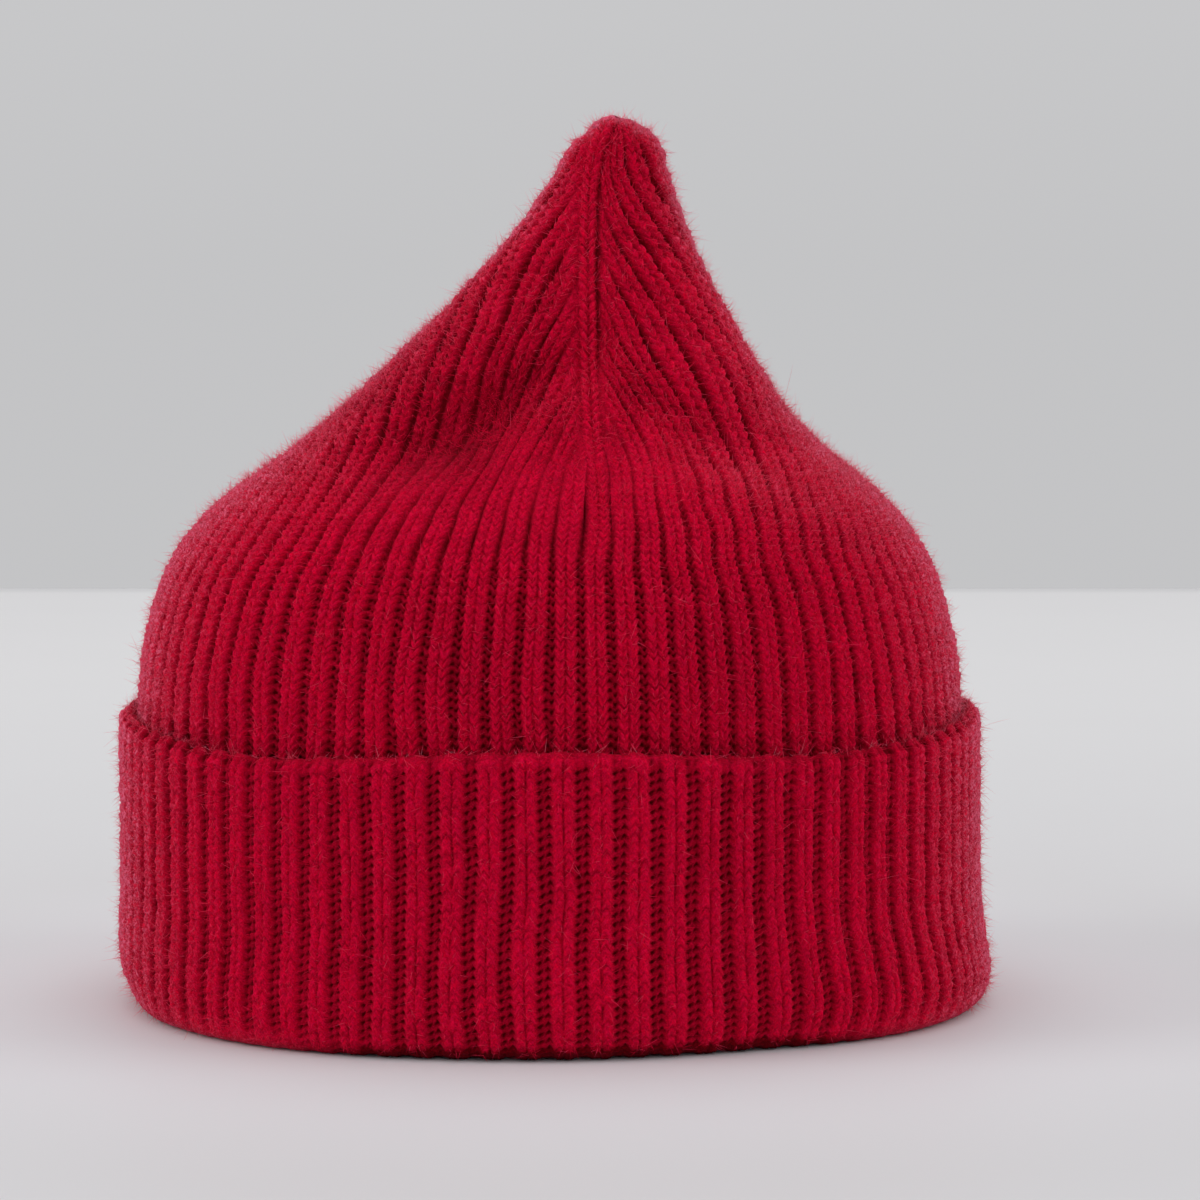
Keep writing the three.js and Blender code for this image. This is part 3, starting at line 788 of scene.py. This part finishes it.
def cuff_part(first, last):
    ribs = np.repeat(np.arange(first, last), 12)
    kinds = np.tile(np.arange(12), last - first)
    ribs, kinds = np.append(ribs, last), np.append(kinds, 0)
    # rows: fine on the face, coarse where the band is hidden or lies on the table
    inner = -np.arange(1, int(TOP_WAY / COURSE * 1.5) + 1)[::-1] / 1.5
    face = np.arange(0, int((FOOT_WAY - TOP_WAY) / COURSE) * 3 + 1) / 3
    under = face[-1] + np.arange(1, int((END_WAY - FOOT_WAY) / COURSE * 2) + 2) / 2
    course_row = np.concatenate([inner, face, under])
    phase3 = np.round(np.mod(course_row, 1) * 3).astype(int) % 3
    rows, cols = len(course_row), len(ribs)
    kind = kinds[None, :] + np.zeros((rows, 1), int)
    lean = LEAN[kind] * smooth(0.4, 1.6, course_row)[:, None]
    way = TOP_WAY + (course_row[:, None] + lean) * COURSE
    span = float(course_row[-1]) * COURSE + TOP_WAY
    way = np.clip(way * 1.0, 0.0, END_WAY)
    last_way = np.where(np.arange(rows)[:, None] == rows - 1, END_WAY, way)
    way = np.minimum(last_way, END_WAY)
    edge = np.clip(0.272 + 0.02 * wander(ribs[None, :] * 0.7 + 0.3, course_row[:, None] * 0.12 + 0 * kind, 51), 0.245, 0.30)
    # rib centres lie half way between the counter's whole numbers
    u = ribs[None, :] + 0.5 + SPOT_FIXED[kind] + SPOT_LOOSE[kind] * edge
    stray = 0.055 * wander(u * 0.35, course_row[:, None] * 0.09 + 0 * u, 52, 28) \
        + 0.040 * wander(u, course_row[:, None] * 0.26 + 0 * u, 53, 80)
    u = u + stray * smooth(0.0, 4.0, course_row)[:, None]
    # the foot of the band shifts sideways while the ribs stay upright
    low = np.interp(way, _way, _prof[:, 1])
    slip = np.interp(low, CUFF[:, 0], CUFF[:, 1]) - 0.15
    u = u + slip * np.sin(angle_of(CUFF_COUNTER, u)) / 6.9
    # low down at the front right the ribs swing out with the bulge of the band, and back under it
    turn = np.degrees(angle_of(CUFF_COUNTER, u))
    turn = np.mod(turn + 180, 360) - 180
    u = u + np.exp(-((turn + 33) / 22) ** 2) * (0.42 * smooth(27, 12, low) - 0.30 * smooth(9, 1, low))
    points = cuff_at(way, u)
    # the edge lies against the crown
    lean_in = 1.1 * smooth(TOP_WAY + 3.4, TOP_WAY + 0.2, way)
    flatwise = points * np.array([1.0, 1.0, 0.0])
    points = points - lean_in[..., None] * unit(flatwise)
    e = 0.35
    along = cuff_at(way, u + 0.12) - cuff_at(way, u - 0.12)
    down = cuff_at(np.minimum(way + e, END_WAY), u) - cuff_at(np.maximum(way - e, 0), u)
    normal = unit(np.cross(down, along))
    third = np.array([0, 1, 3])[phase3][:, None] + 0 * kind
    course_no = np.floor(course_row).astype(int)[:, None] + 0 * kind
    rib_no = ribs[None, :] + 0 * kind
    height = LOOSE[kind, third]
    wale = np.where(kind < 6, 0, 1)
    height = height + 0.40 * (chance(rib_no, wale, course_no, 61) - 0.5) * (CREST[kind] + 0.3)
    height = height + 0.16 * (chance(12 * rib_no + kind, third, course_no, 64) - 0.5) * (CREST[kind] + 0.4)
    # fibres bridge the line between the two wales here and there
    bridged = smooth(-0.25, 0.75, wander(rib_no * 1.7, course_row[:, None] * 0.8 + 0 * way, 66))
    height = height + np.where(kind == 6, 0.55 * bridged, 0.0)
    # the edge is a plain rounded lip; the ribs start just below it
    below = (way - TOP_WAY)
    side = smooth(0.55, 0.85, np.abs(points[..., 0]) / 90.0)
    lip = smooth(0, 1, (below + 0.7 * wander(u * 1.7, 0 * below, 65) - (1.7 - 1.5 * side)) / (2.7 - 0.9 * side))
    rope = -0.46 + 0.10 * np.cos(2 * math.pi * 2 * u) + 0.30 * wander(u * 2.6, below * 0.5, 62) \
        + (0.30 + 0.30 * side) * (height + 0.7)
    height = height * lip + rope * (1 - lip)
    # painted shade: the lip is darkened along its top edge
    shade = -1.05 * (1 - smooth(0.0, 4.2, below))
    height = height + 0.10 * wander(u * 0.9, course_row[:, None] * 0.45 + 0 * u, 63, 72)
    flat = smooth(FOOT_WAY - 1.5, FOOT_WAY + 1.5, way)
    # towards the ends of the hat the ribs melt into a plain soft foot
    ends = smooth(30, 66, np.abs(points[..., 0] - 8.0))
    height = height * (1 - (0.55 + 0.33 * ends) * smooth(FOOT_WAY - 6.0 - 2.5 * ends, FOOT_WAY - 1.0 - ends, way)) * (1 - 0.3 * flat)
    height = np.where(way >= END_WAY - 1e-6, -0.3, height)
    height = np.minimum(height, 0.16)
    points = points + normal * height[..., None]
    # the foot stands a little further back at the front right than at the front left
    foot = smooth(28, 4, points[..., 2]) * smooth(10, -30, points[..., 1])
    x = points[..., 0]
    points[..., 1] += foot * (4.0 * np.exp(-((x - 42) / 27) ** 2) - 1.8 * np.exp(-((x + 58) / 30) ** 2))
    points[..., 0] += 1.4 * smooth(-80, -92, x) * smooth(11, 2, points[..., 2])
    points[..., 2] = np.maximum(points[..., 2], 0.0)
    quads = grid_faces(rows, cols, flip=True)
    # height now only sets the colour: painted shade on the lip, painted shadow along the foot where the fold meets the
    # table, and painted shadow on the rib flanks seen sideways
    sideways = smooth(0.42, 0.80, np.abs(normal[..., 0])) * lip
    height = height + shade - 2.6 * smooth(3.6, 1.0, points[..., 2]) * (1 - 0.80 * ends) - 0.30 * ends * smooth(7, 2, points[..., 2]) - 0.30 * sideways * FLANK[kind]
    uv = np.stack([12.0 * rib_no + kind + 2000.0, course_row[:, None] + 0 * height], -1)
    grows = CREST[kind] * (way > TOP_WAY + 1.0) * (way < FOOT_WAY - 0.2) + 1.1 * (np.abs(way - TOP_WAY - 0.2) < 1.6)
    step = down
    ROOTS.append((points.reshape(-1, 3), normal.reshape(-1, 3), unit(step).reshape(-1, 3), grows.reshape(-1)))
    return points.reshape(-1, 3), quads, uv.reshape(-1, 2), height.reshape(-1), normal.reshape(-1, 3)


for name, first, last in (("cuff_front", -20, 20), ("cuff_back", 20, 60)):
    p, q, m, d, b = cuff_part(first, last)
    band = store(name, p, q, uv=m, tint=d, broad=b)
    pieces.append((band, "cuff"))

# ---------------------------------------------------------------------------
# inside of the crown: the same cloth from behind, valleys and ribs changed over


def crown_inside():
    cols = RIBS * 3 + 1
    at_rows = np.concatenate([np.linspace(0, LAST - 1.0, 42), np.linspace(LAST - 1.0, LAST, 5)[1:]])
    rib = np.linspace(0, RIBS, cols)[None, :] + 0 * at_rows[:, None]
    at = at_rows[:, None] + 0 * rib
    angle = angle_of(CROWN_COUNTER, rib)
    points = crown_point(at, angle)
    along = crown_point(at, angle + 0.01) - crown_point(at, angle - 0.01)
    up = crown_point(np.minimum(at + 0.02, LAST), angle) - crown_point(np.maximum(at - 0.02, 0), angle)
    normal = unit(np.cross(along, up))
    normal[at >= LAST - 1e-6] = (0, 0, 1)
    z = spline(CROWN[:, :1], at)[..., 0]
    relief = 0.34 * (1 + np.cos(2 * math.pi * rib)) * smooth(170, 130, z)
    points = points - normal * (WALL - relief)[..., None]
    quads = grid_faces(len(at_rows), cols, flip=True)
    way = np.interp(at, LEVEL, CLIMB) + np.minimum(at - T0, 0) * 19.0
    uv = np.stack([12.0 * rib + 6, way / COURSE], -1)
    return points.reshape(-1, 3), quads, uv.reshape(-1, 2), (-0.9 + 0 * rib).reshape(-1), -normal.reshape(-1, 3)


p, q, m, d, b = crown_inside()
lining = store("crown_inside", p, q, uv=m, tint=d, broad=b)
pieces.append((lining, "crown"))

# ---------------------------------------------------------------------------
# loose fibres: a short nap everywhere and a few long hairs


def fibres(seed, kinds_of_hair):
    rng = np.random.default_rng(seed)
    pts = np.concatenate([r[0] for r in ROOTS])
    nor = np.concatenate([r[1] for r in ROOTS])
    run = np.concatenate([r[2] for r in ROOTS])
    wgt = np.concatenate([r[3] for r in ROOTS])
    wgt = wgt * (pts[:, 2] > 1.4) * np.where(pts[:, 1] > 22.0, 0.62, 1.0)
    wgt = wgt / wgt.sum()
    out_p, out_t, out_d, out_b, n = [], [], [], [], 0
    for count, low, high, rings, thick, stand in kinds_of_hair:
        pick = rng.choice(len(pts), count, p=wgt)
        root, nrm, up = pts[pick], nor[pick], run[pick]
        across = unit(np.cross(nrm, up))
        length = low + (high - low) * rng.random(count) ** 1.8
        spin = rng.random(count) * 2 * math.pi
        flat = up * np.cos(spin)[:, None] + across * np.sin(spin)[:, None]
        rise = stand * (0.30 + 0.70 * rng.random(count))
        way = unit(flat * (1 - rise)[:, None] + nrm * rise[:, None])
        bend = unit(rng.normal(size=(count, 3)) + nrm * 0.25) * (0.32 + 0.40 * rng.random(count))[:, None]
        curl = unit(rng.normal(size=(count, 3))) * (0.10 + 0.30 * rng.random(count))[:, None]
        e1 = unit(np.cross(way, unit(rng.normal(size=(count, 3)))))
        e2 = np.cross(way, e1)
        scatter = (flat * (rng.random(count) - 0.5)[:, None] * 1.0)
        rim = []
        for k in range(rings + 1):
            s = k / rings
            mid = root + scatter - nrm * 0.15 + length[:, None] * (way * s + bend * s * s + curl * s ** 3)
            lift = ((mid - root) * nrm).sum(1)
            mid = mid + nrm * np.maximum(0.05 - lift, 0)[:, None] * (s > 0)
            mid[:, 2] = np.maximum(mid[:, 2], 0.15)
            if k == rings:
                rim.append(mid[:, None, :])
            else:
                r = thick * (1 - 0.55 * s)
                rim.append(np.stack([mid + r * (e1 * math.cos(a) + e2 * math.sin(a)) for a in (0, 2.0944, 4.1888)], 1))
        block = np.concatenate(rim, 1)
        per = block.shape[1]
        tri = []
        for k in range(rings - 1):
            for a in range(3):
                b = (a + 1) % 3
                tri += [(3 * k + a, 3 * k + b, 3 * k + 3 + b), (3 * k + a, 3 * k + 3 + b, 3 * k + 3 + a)]
        for a in range(3):
            tri.append((3 * (rings - 1) + a, 3 * (rings - 1) + (a + 1) % 3, per - 1))
        tri.append((2, 1, 0))
        tri = np.array(tri)
        out_p.append(block.reshape(-1, 3))
        out_t.append((tri[None] + (np.arange(count) * per)[:, None, None]).reshape(-1, 3) + n)
        about = np.degrees(np.arctan2(root[:, 1], root[:, 0]))
        deep = hollow(root[:, 2], about)
        drop = 0.75 if rings == 1 else 0.15
        pale = rng.random(count) ** 3.5 * (1 - drop * np.clip(brow(root[:, 2], about) + 1.2 * deep, 0, 1))
        out_d.append(np.repeat(pale, per))
        # strength of each fibre's painted sheen, less in the hollow
        lie = painted_sheen_weight(root[:, 2], about) * (1 - 0.7 * deep)
        out_b.append(np.repeat(nrm * lie[:, None], per, axis=0))
        n += count * per
    return tuple(np.concatenate(v) for v in (out_p, out_t, out_d, out_b))


# how many, shortest, longest, joints, half thickness, how far they stand off
for n in range(2):
    fp, ft, fd, fb = fibres(831 + n, ((37500, 1.0, 3.1, 1, 0.060, 0.66),))
    nap = store("nap_%d" % (n + 1), fp, None, tint=fd, broad=fb, tris=ft)
    pieces.append((nap, None))
fp, ft, fd, fb = fibres(841, ((2000, 1.6, 3.4, 2, 0.045, 0.6), (420, 3.0, 7.0, 5, 0.036, 0.45)))
hairs = store("long_fibres", fp, None, tint=fd, broad=fb, tris=ft)
pieces.append((hairs, None))

# ---------------------------------------------------------------------------
# materials


def new_material(name):
    mat = bpy.data.materials.new(name)
    mat.use_nodes = True
    tree = mat.node_tree
    tree.nodes.clear()
    return mat, tree.nodes, tree.links


def principled(nodes, links):
    out = nodes.new("ShaderNodeOutputMaterial")
    bsdf = nodes.new("ShaderNodeBsdfPrincipled")
    links.new(bsdf.outputs["BSDF"], out.inputs["Surface"])
    return bsdf


def math_node(nodes, links, op, a, b=None, clamp=False):
    n = nodes.new("ShaderNodeMath")
    n.operation = op
    n.use_clamp = clamp
    for i, v in enumerate((a, b)):
        if v is None:
            continue
        if isinstance(v, (int, float)):
            n.inputs[i].default_value = v
        else:
            links.new(v, n.inputs[i])
    return n.outputs[0]


def mix_colour(nodes, links, fac, a, b, blend="MIX"):
    n = nodes.new("ShaderNodeMix")
    n.data_type = "RGBA"
    n.blend_type = blend
    n.clamp_factor = True
    for sock, v in ((n.inputs["Factor"], fac), (n.inputs[6], a), (n.inputs[7], b)):
        if isinstance(v, (int, float)):
            sock.default_value = v
        elif isinstance(v, tuple):
            sock.default_value = (*v, 1.0)
        else:
            links.new(v, sock)
    return n.outputs[2]


def noise(nodes, links, vector, scale, detail=2.0, rough=0.5):
    n = nodes.new("ShaderNodeTexNoise")
    n.inputs["Scale"].default_value = scale
    n.inputs["Detail"].default_value = detail
    n.inputs["Roughness"].default_value = rough
    links.new(vector, n.inputs["Vector"])
    return n.outputs["Fac"]


def strokes(nodes, links, vector, turn, shift, low, high):
    """Short thin fibres lying on the cloth in one direction."""
    m = nodes.new("ShaderNodeMapping")
    m.vector_type = "POINT"
    m.inputs["Rotation"].default_value = (0.0, 0.0, turn)
    m.inputs["Location"].default_value = (shift, shift * 0.7, 0.0)
    links.new(vector, m.inputs["Vector"])
    n = nodes.new("ShaderNodeVectorMath")
    n.operation = "MULTIPLY"
    n.inputs[1].default_value = (0.42, 4.3, 1.0)
    links.new(m.outputs["Vector"], n.inputs[0])
    f = noise(nodes, links, n.outputs[0], 1.0, 1.0, 0.5)
    r = nodes.new("ShaderNodeMapRange")
    r.interpolation_type = "SMOOTHSTEP"
    r.inputs["From Min"].default_value = low
    r.inputs["From Max"].default_value = high
    links.new(f, r.inputs["Value"])
    return r.outputs["Result"]


def wisps(nodes, links, where):
    """Thin fibres lying every way, cut from solid noise stretched along three directions."""
    best = None
    for turn, shift in (((0.5, 0.3, 0.2), 3.1), ((-0.6, 0.5, 1.4), 7.7), ((0.2, -0.7, 2.5), 11.3)):
        m = nodes.new("ShaderNodeMapping")
        m.vector_type = "POINT"
        m.inputs["Rotation"].default_value = turn
        m.inputs["Location"].default_value = (shift, shift * 0.7, shift * 0.4)
        links.new(where, m.inputs["Vector"])
        n = nodes.new("ShaderNodeVectorMath")
        n.operation = "MULTIPLY"
        n.inputs[1].default_value = (2500.0, 2500.0, 420.0)
        links.new(m.outputs["Vector"], n.inputs[0])
        f = noise(nodes, links, n.outputs[0], 1.0, 1.0, 0.5)
        r = nodes.new("ShaderNodeMapRange")
        r.interpolation_type = "SMOOTHSTEP"
        r.inputs["From Min"].default_value = 0.57
        r.inputs["From Max"].default_value = 0.68
        links.new(f, r.inputs["Value"])
        one = r.outputs["Result"]
        best = one if best is None else math_node(nodes, links, "MAXIMUM", best, one)
    return best


def rim_sheen(nodes, links, power):
    """A painted sheen: how far the colour pales where the cloth, taken broadly, turns away, as if the nap caught light;
    the length of broad sets its strength.
    """
    broad = nodes.new("ShaderNodeAttribute")
    broad.attribute_name = "broad"
    to_world = nodes.new("ShaderNodeVectorTransform")
    to_world.vector_type = "NORMAL"
    to_world.convert_from = "OBJECT"
    to_world.convert_to = "WORLD"
    links.new(broad.outputs["Vector"], to_world.inputs[0])
    turn = nodes.new("ShaderNodeLayerWeight")
    turn.inputs["Blend"].default_value = 0.5
    links.new(to_world.outputs[0], turn.inputs["Normal"])
    sheen_strength = nodes.new("ShaderNodeVectorMath")
    sheen_strength.operation = "LENGTH"
    links.new(broad.outputs["Vector"], sheen_strength.inputs[0])
    edge = math_node(nodes, links, "POWER", turn.outputs["Facing"], power)
    return math_node(nodes, links, "MULTIPLY", edge, sheen_strength.outputs["Value"])


def wool():
    mat, nodes, links = new_material("wool_knit")
    bsdf = principled(nodes, links)
    uv = nodes.new("ShaderNodeUVMap")
    uv.uv_map = "stitch"
    coord = nodes.new("ShaderNodeTexCoord")
    depth = nodes.new("ShaderNodeAttribute")
    depth.attribute_name = "depth"
    where = coord.outputs["Object"]
    # strands lie along the legs of the stitches: stretched noise in stitch coordinates
    strand = nodes.new("ShaderNodeVectorMath")
    strand.operation = "MULTIPLY"
    strand.inputs[1].default_value = (0.45, 5.0, 1.0)
    links.new(uv.outputs["UV"], strand.inputs[0])
    strands = noise(nodes, links, strand.outputs[0], 1.0, 3.0, 0.6)
    fuzz = noise(nodes, links, where, 2400.0, 2.0, 0.6)
    fleck = noise(nodes, links, where, 1150.0, 2.0, 0.55)
    cloud = noise(nodes, links, where, 38.0, 3.0, 0.5)
    cloth = nodes.new("ShaderNodeVectorMath")
    cloth.operation = "MULTIPLY"
    cloth.inputs[1].default_value = (0.47, 1.83, 0.0)
    links.new(uv.outputs["UV"], cloth.inputs[0])
    light = None
    for k, turn in enumerate((0.35, 1.15, 1.85, 2.75)):
        one = strokes(nodes, links, cloth.outputs[0], turn, 13.7 * (k + 1), 0.60, 0.70)
        light = one if light is None else math_node(nodes, links, "MAXIMUM", light, one)
    wisp = wisps(nodes, links, where)
    # colour: painted shade deep in the valleys, brighter on the crests, with pale fibre ends
    low = math_node(nodes, links, "MULTIPLY_ADD", depth.outputs["Fac"], 0.571)
    low.node.inputs[2].default_value = 1.20
    low.node.use_clamp = True
    base = mix_colour(nodes, links, low, (0.19, 0.0002, 0.0060), (0.80, 0.0004, 0.0340))
    tone = math_node(nodes, links, "MULTIPLY_ADD", cloud, 0.5)
    tone.node.inputs[2].default_value = 0.75
    grain = math_node(nodes, links, "MULTIPLY_ADD", math_node(nodes, links, "ADD", fleck, fuzz), 0.95)
    grain.node.inputs[2].default_value = 0.05
    ply = math_node(nodes, links, "MULTIPLY_ADD", strands, 1.1)
    ply.node.inputs[2].default_value = 0.45
    shade = math_node(nodes, links, "MULTIPLY", tone, math_node(nodes, links, "MULTIPLY", grain, ply))
    base = mix_colour(nodes, links, 1.0, base, shade_colour(nodes, links, shade), "MULTIPLY")
    some = math_node(nodes, links, "MAXIMUM", light, math_node(nodes, links, "MULTIPLY", wisp, 0.8))
    veil = math_node(nodes, links, "MULTIPLY", some, math_node(nodes, links, "MULTIPLY", low, 0.46))
    base = mix_colour(nodes, links, veil, base, (1.0, 0.006, 0.086))
    # painted sheen: on the crests the colour pales to pink where the cloth, taken broadly, turns away, broken up by the
    # fibre strokes
    crest = math_node(nodes, links, "POWER", low, 2.6)
    rim = math_node(nodes, links, "MULTIPLY", rim_sheen(nodes, links, 4.2), crest)
    rim = math_node(nodes, links, "MULTIPLY", rim, math_node(nodes, links, "MULTIPLY", grain, ply))
    ends = math_node(nodes, links, "MULTIPLY_ADD", math_node(nodes, links, "ADD", wisp, math_node(nodes, links, "MULTIPLY", light, 0.6)), 2.5)
    ends.node.inputs[2].default_value = 0.32
    rim = math_node(nodes, links, "MULTIPLY", rim, ends, clamp=True)
    base = mix_colour(nodes, links, rim, base, (1.0, 0.165, 0.285))
    links.new(base, bsdf.inputs["Base Color"])
    bsdf.inputs["Roughness"].default_value = 0.92
    bsdf.inputs["Specular IOR Level"].default_value = 0.03
    bsdf.inputs["Sheen Weight"].default_value = 0.04
    bsdf.inputs["Sheen Roughness"].default_value = 0.30
    bsdf.inputs["Sheen Tint"].default_value = (1.0, 0.30, 0.45, 1.0)
    # bump: strands, then fine fibre, then flecks
    h = math_node(nodes, links, "MULTIPLY", strands, 0.8)
    h = math_node(nodes, links, "ADD", h, math_node(nodes, links, "MULTIPLY", fuzz, 0.25))
    h = math_node(nodes, links, "ADD", h, math_node(nodes, links, "MULTIPLY", fleck, 0.6))
    h = math_node(nodes, links, "ADD", h, math_node(nodes, links, "MULTIPLY", some, 0.55))
    bump = nodes.new("ShaderNodeBump")
    bump.inputs["Strength"].default_value = 0.7
    bump.inputs["Distance"].default_value = 0.0008
    links.new(h, bump.inputs["Height"])
    links.new(bump.outputs["Normal"], bsdf.inputs["Normal"])
    return mat


def shade_colour(nodes, links, value):
    n = nodes.new("ShaderNodeCombineColor")
    for i in range(3):
        links.new(value, n.inputs[i])
    return n.outputs[0]


def hair():
    mat, nodes, links = new_material("wool_fibre")
    bsdf = principled(nodes, links)
    coord = nodes.new("ShaderNodeTexCoord")
    tone = nodes.new("ShaderNodeAttribute")
    tone.attribute_name = "depth"
    vary = noise(nodes, links, coord.outputs["Object"], 260.0, 1.0, 0.5)
    colour = mix_colour(nodes, links, vary, (0.78, 0.0006, 0.032), (0.95, 0.004, 0.056))
    colour = mix_colour(nodes, links, tone.outputs["Fac"], colour, (1.0, 0.075, 0.160))
    lit = math_node(nodes, links, "MULTIPLY_ADD", tone.outputs["Fac"], 1.0)
    lit.node.inputs[2].default_value = 0.66
    # painted sheen: fibres pale to pink where the cloth, taken broadly, turns away, the paler fibres most
    rim = math_node(nodes, links, "MULTIPLY", rim_sheen(nodes, links, 3.4), lit, clamp=True)
    colour = mix_colour(nodes, links, rim, colour, (1.0, 0.240, 0.350))
    links.new(colour, bsdf.inputs["Base Color"])
    bsdf.inputs["Roughness"].default_value = 0.9
    bsdf.inputs["Specular IOR Level"].default_value = 0.03
    return mat


wool_mat = wool()
hair_mat = hair()

for obj, node in pieces:
    obj.data.materials.append(hair_mat if node is None else wool_mat)
    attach(obj, "root")
    if node:
        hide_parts(node)
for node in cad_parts.values():
    node.data.materials.clear()
    node.data.materials.append(wool_mat)

# ---------------------------------------------------------------------------
# stage: pale table, grey surroundings, soft light


def table_top(name, far, near, beyond):
    mat, nodes, links = new_material(name)
    bsdf = principled(nodes, links)
    coord = nodes.new("ShaderNodeTexCoord")
    split = nodes.new("ShaderNodeSeparateXYZ")
    links.new(coord.outputs["Object"], split.inputs[0])

    def ramp(low, high):
        r = nodes.new("ShaderNodeMapRange")
        r.interpolation_type = "SMOOTHSTEP"
        r.inputs["From Min"].default_value = low
        r.inputs["From Max"].default_value = high
        links.new(split.outputs["Y"], r.inputs["Value"])
        return r.outputs["Result"]

    # painted shade: the table grows darker from far off towards the camera
    colour = mix_colour(nodes, links, ramp(0.0, 0.80), near, far)
    # painted light: a little paler where the object stands, which lifts the shadow round it
    spread = nodes.new("ShaderNodeVectorMath")
    spread.operation = "LENGTH"
    links.new(coord.outputs["Object"], spread.inputs[0])
    painted_light_round = nodes.new("ShaderNodeMapRange")
    painted_light_round.interpolation_type = "SMOOTHSTEP"
    painted_light_round.inputs["From Min"].default_value = 0.21
    painted_light_round.inputs["From Max"].default_value = 0.10
    links.new(spread.outputs["Value"], painted_light_round.inputs["Value"])
    colour = mix_colour(nodes, links, math_node(nodes, links, "MULTIPLY", painted_light_round.outputs["Result"], 1.0), colour, (0.775, 0.778, 0.805))
    vary = noise(nodes, links, coord.outputs["Object"], 9.0, 3.0, 0.5)
    grey = math_node(nodes, links, "MULTIPLY_ADD", vary, 0.02)
    grey.node.inputs[2].default_value = 0.99
    colour = mix_colour(nodes, links, 1.0, colour, shade_colour(nodes, links, grey), "MULTIPLY")
    colour = mix_colour(nodes, links, ramp(1.108, 1.150), colour, beyond)
    links.new(colour, bsdf.inputs["Base Color"])
    bsdf.inputs["Roughness"].default_value = 0.6
    bsdf.inputs["Specular IOR Level"].default_value = 0.25
    return mat


def quad(name, corners, mat):
    mesh = bpy.data.meshes.new(name)
    mesh.from_pydata(corners, [], [(0, 1, 2, 3)])
    mesh.materials.append(mat)
    obj = bpy.data.objects.new(name, mesh)
    bpy.context.scene.collection.objects.link(obj)
    return obj


quad("table", [(-2.6, -3.2, 0), (2.6, -3.2, 0), (2.6, 1.146, 0), (-2.6, 1.146, 0)], table_top("table_white", (0.785, 0.779, 0.785), (0.705, 0.700, 0.712), (0.655, 0.65, 0.66)))

world = bpy.data.worlds.new("studio")
bpy.context.scene.world = world
world.use_nodes = True
wn, wl = world.node_tree.nodes, world.node_tree.links
wn.clear()
w_out = wn.new("ShaderNodeOutputWorld")
w_bg = wn.new("ShaderNodeBackground")
w_bg.inputs["Strength"].default_value = 1.0
w_dir = wn.new("ShaderNodeTexCoord")
w_split = wn.new("ShaderNodeSeparateXYZ")
w_rise = wn.new("ShaderNodeMapRange")
w_rise.inputs["From Min"].default_value = 0.0
w_rise.inputs["From Max"].default_value = 0.055
wl.new(w_dir.outputs["Generated"], w_split.inputs[0])
wl.new(w_split.outputs["Z"], w_rise.inputs["Value"])
wl.new(mix_colour(wn, wl, w_rise.outputs["Result"], (0.550, 0.550, 0.560), (0.571, 0.571, 0.581)), w_bg.inputs["Color"])
wl.new(w_bg.outputs[0], w_out.inputs["Surface"])


def area(name, where, aim, size, power, colour=(1, 1, 1)):
    light = bpy.data.lights.new(name, "AREA")
    light.shape = "RECTANGLE"
    light.size, light.size_y = size
    light.energy = power
    light.color = colour
    obj = bpy.data.objects.new(name, light)
    obj.location = where
    d = np.array(aim, float) - np.array(where, float)
    yaw = math.atan2(d[0], -d[1])
    pitch = math.atan2(math.hypot(d[0], d[1]), -d[2])
    obj.rotation_euler = (pitch, 0, math.pi + math.atan2(-d[0], d[1]) + math.pi)
    bpy.context.scene.collection.objects.link(obj)
    return obj


area("light_left", (-2.3, -0.5, 1.3), (0, 0, 0.08), (1.2, 1.8), 17.8)
area("light_right", (2.3, -0.3, 1.3), (0, 0, 0.08), (1.2, 1.8), 12.6)
area("light_top", (0.0, 0.5, 2.8), (0, 0.2, 0.05), (2.4, 2.4), 18.0)

camera = bpy.data.cameras.new("camera")
camera.sensor_width = 36.0
camera.lens = 129.18
camera.clip_start, camera.clip_end = 0.01, 50.0
view = bpy.data.objects.new("camera", camera)
view.location = (0.00956, -0.920, 0.1575)
view.rotation_euler = (math.radians(90 - 4.5147), 0, 0)
bpy.context.scene.collection.objects.link(view)
bpy.context.scene.camera = view

bpy.context.scene.view_settings.view_transform = "Standard"
bpy.context.scene.view_settings.look = "None"

bpy.context.view_layer.update()
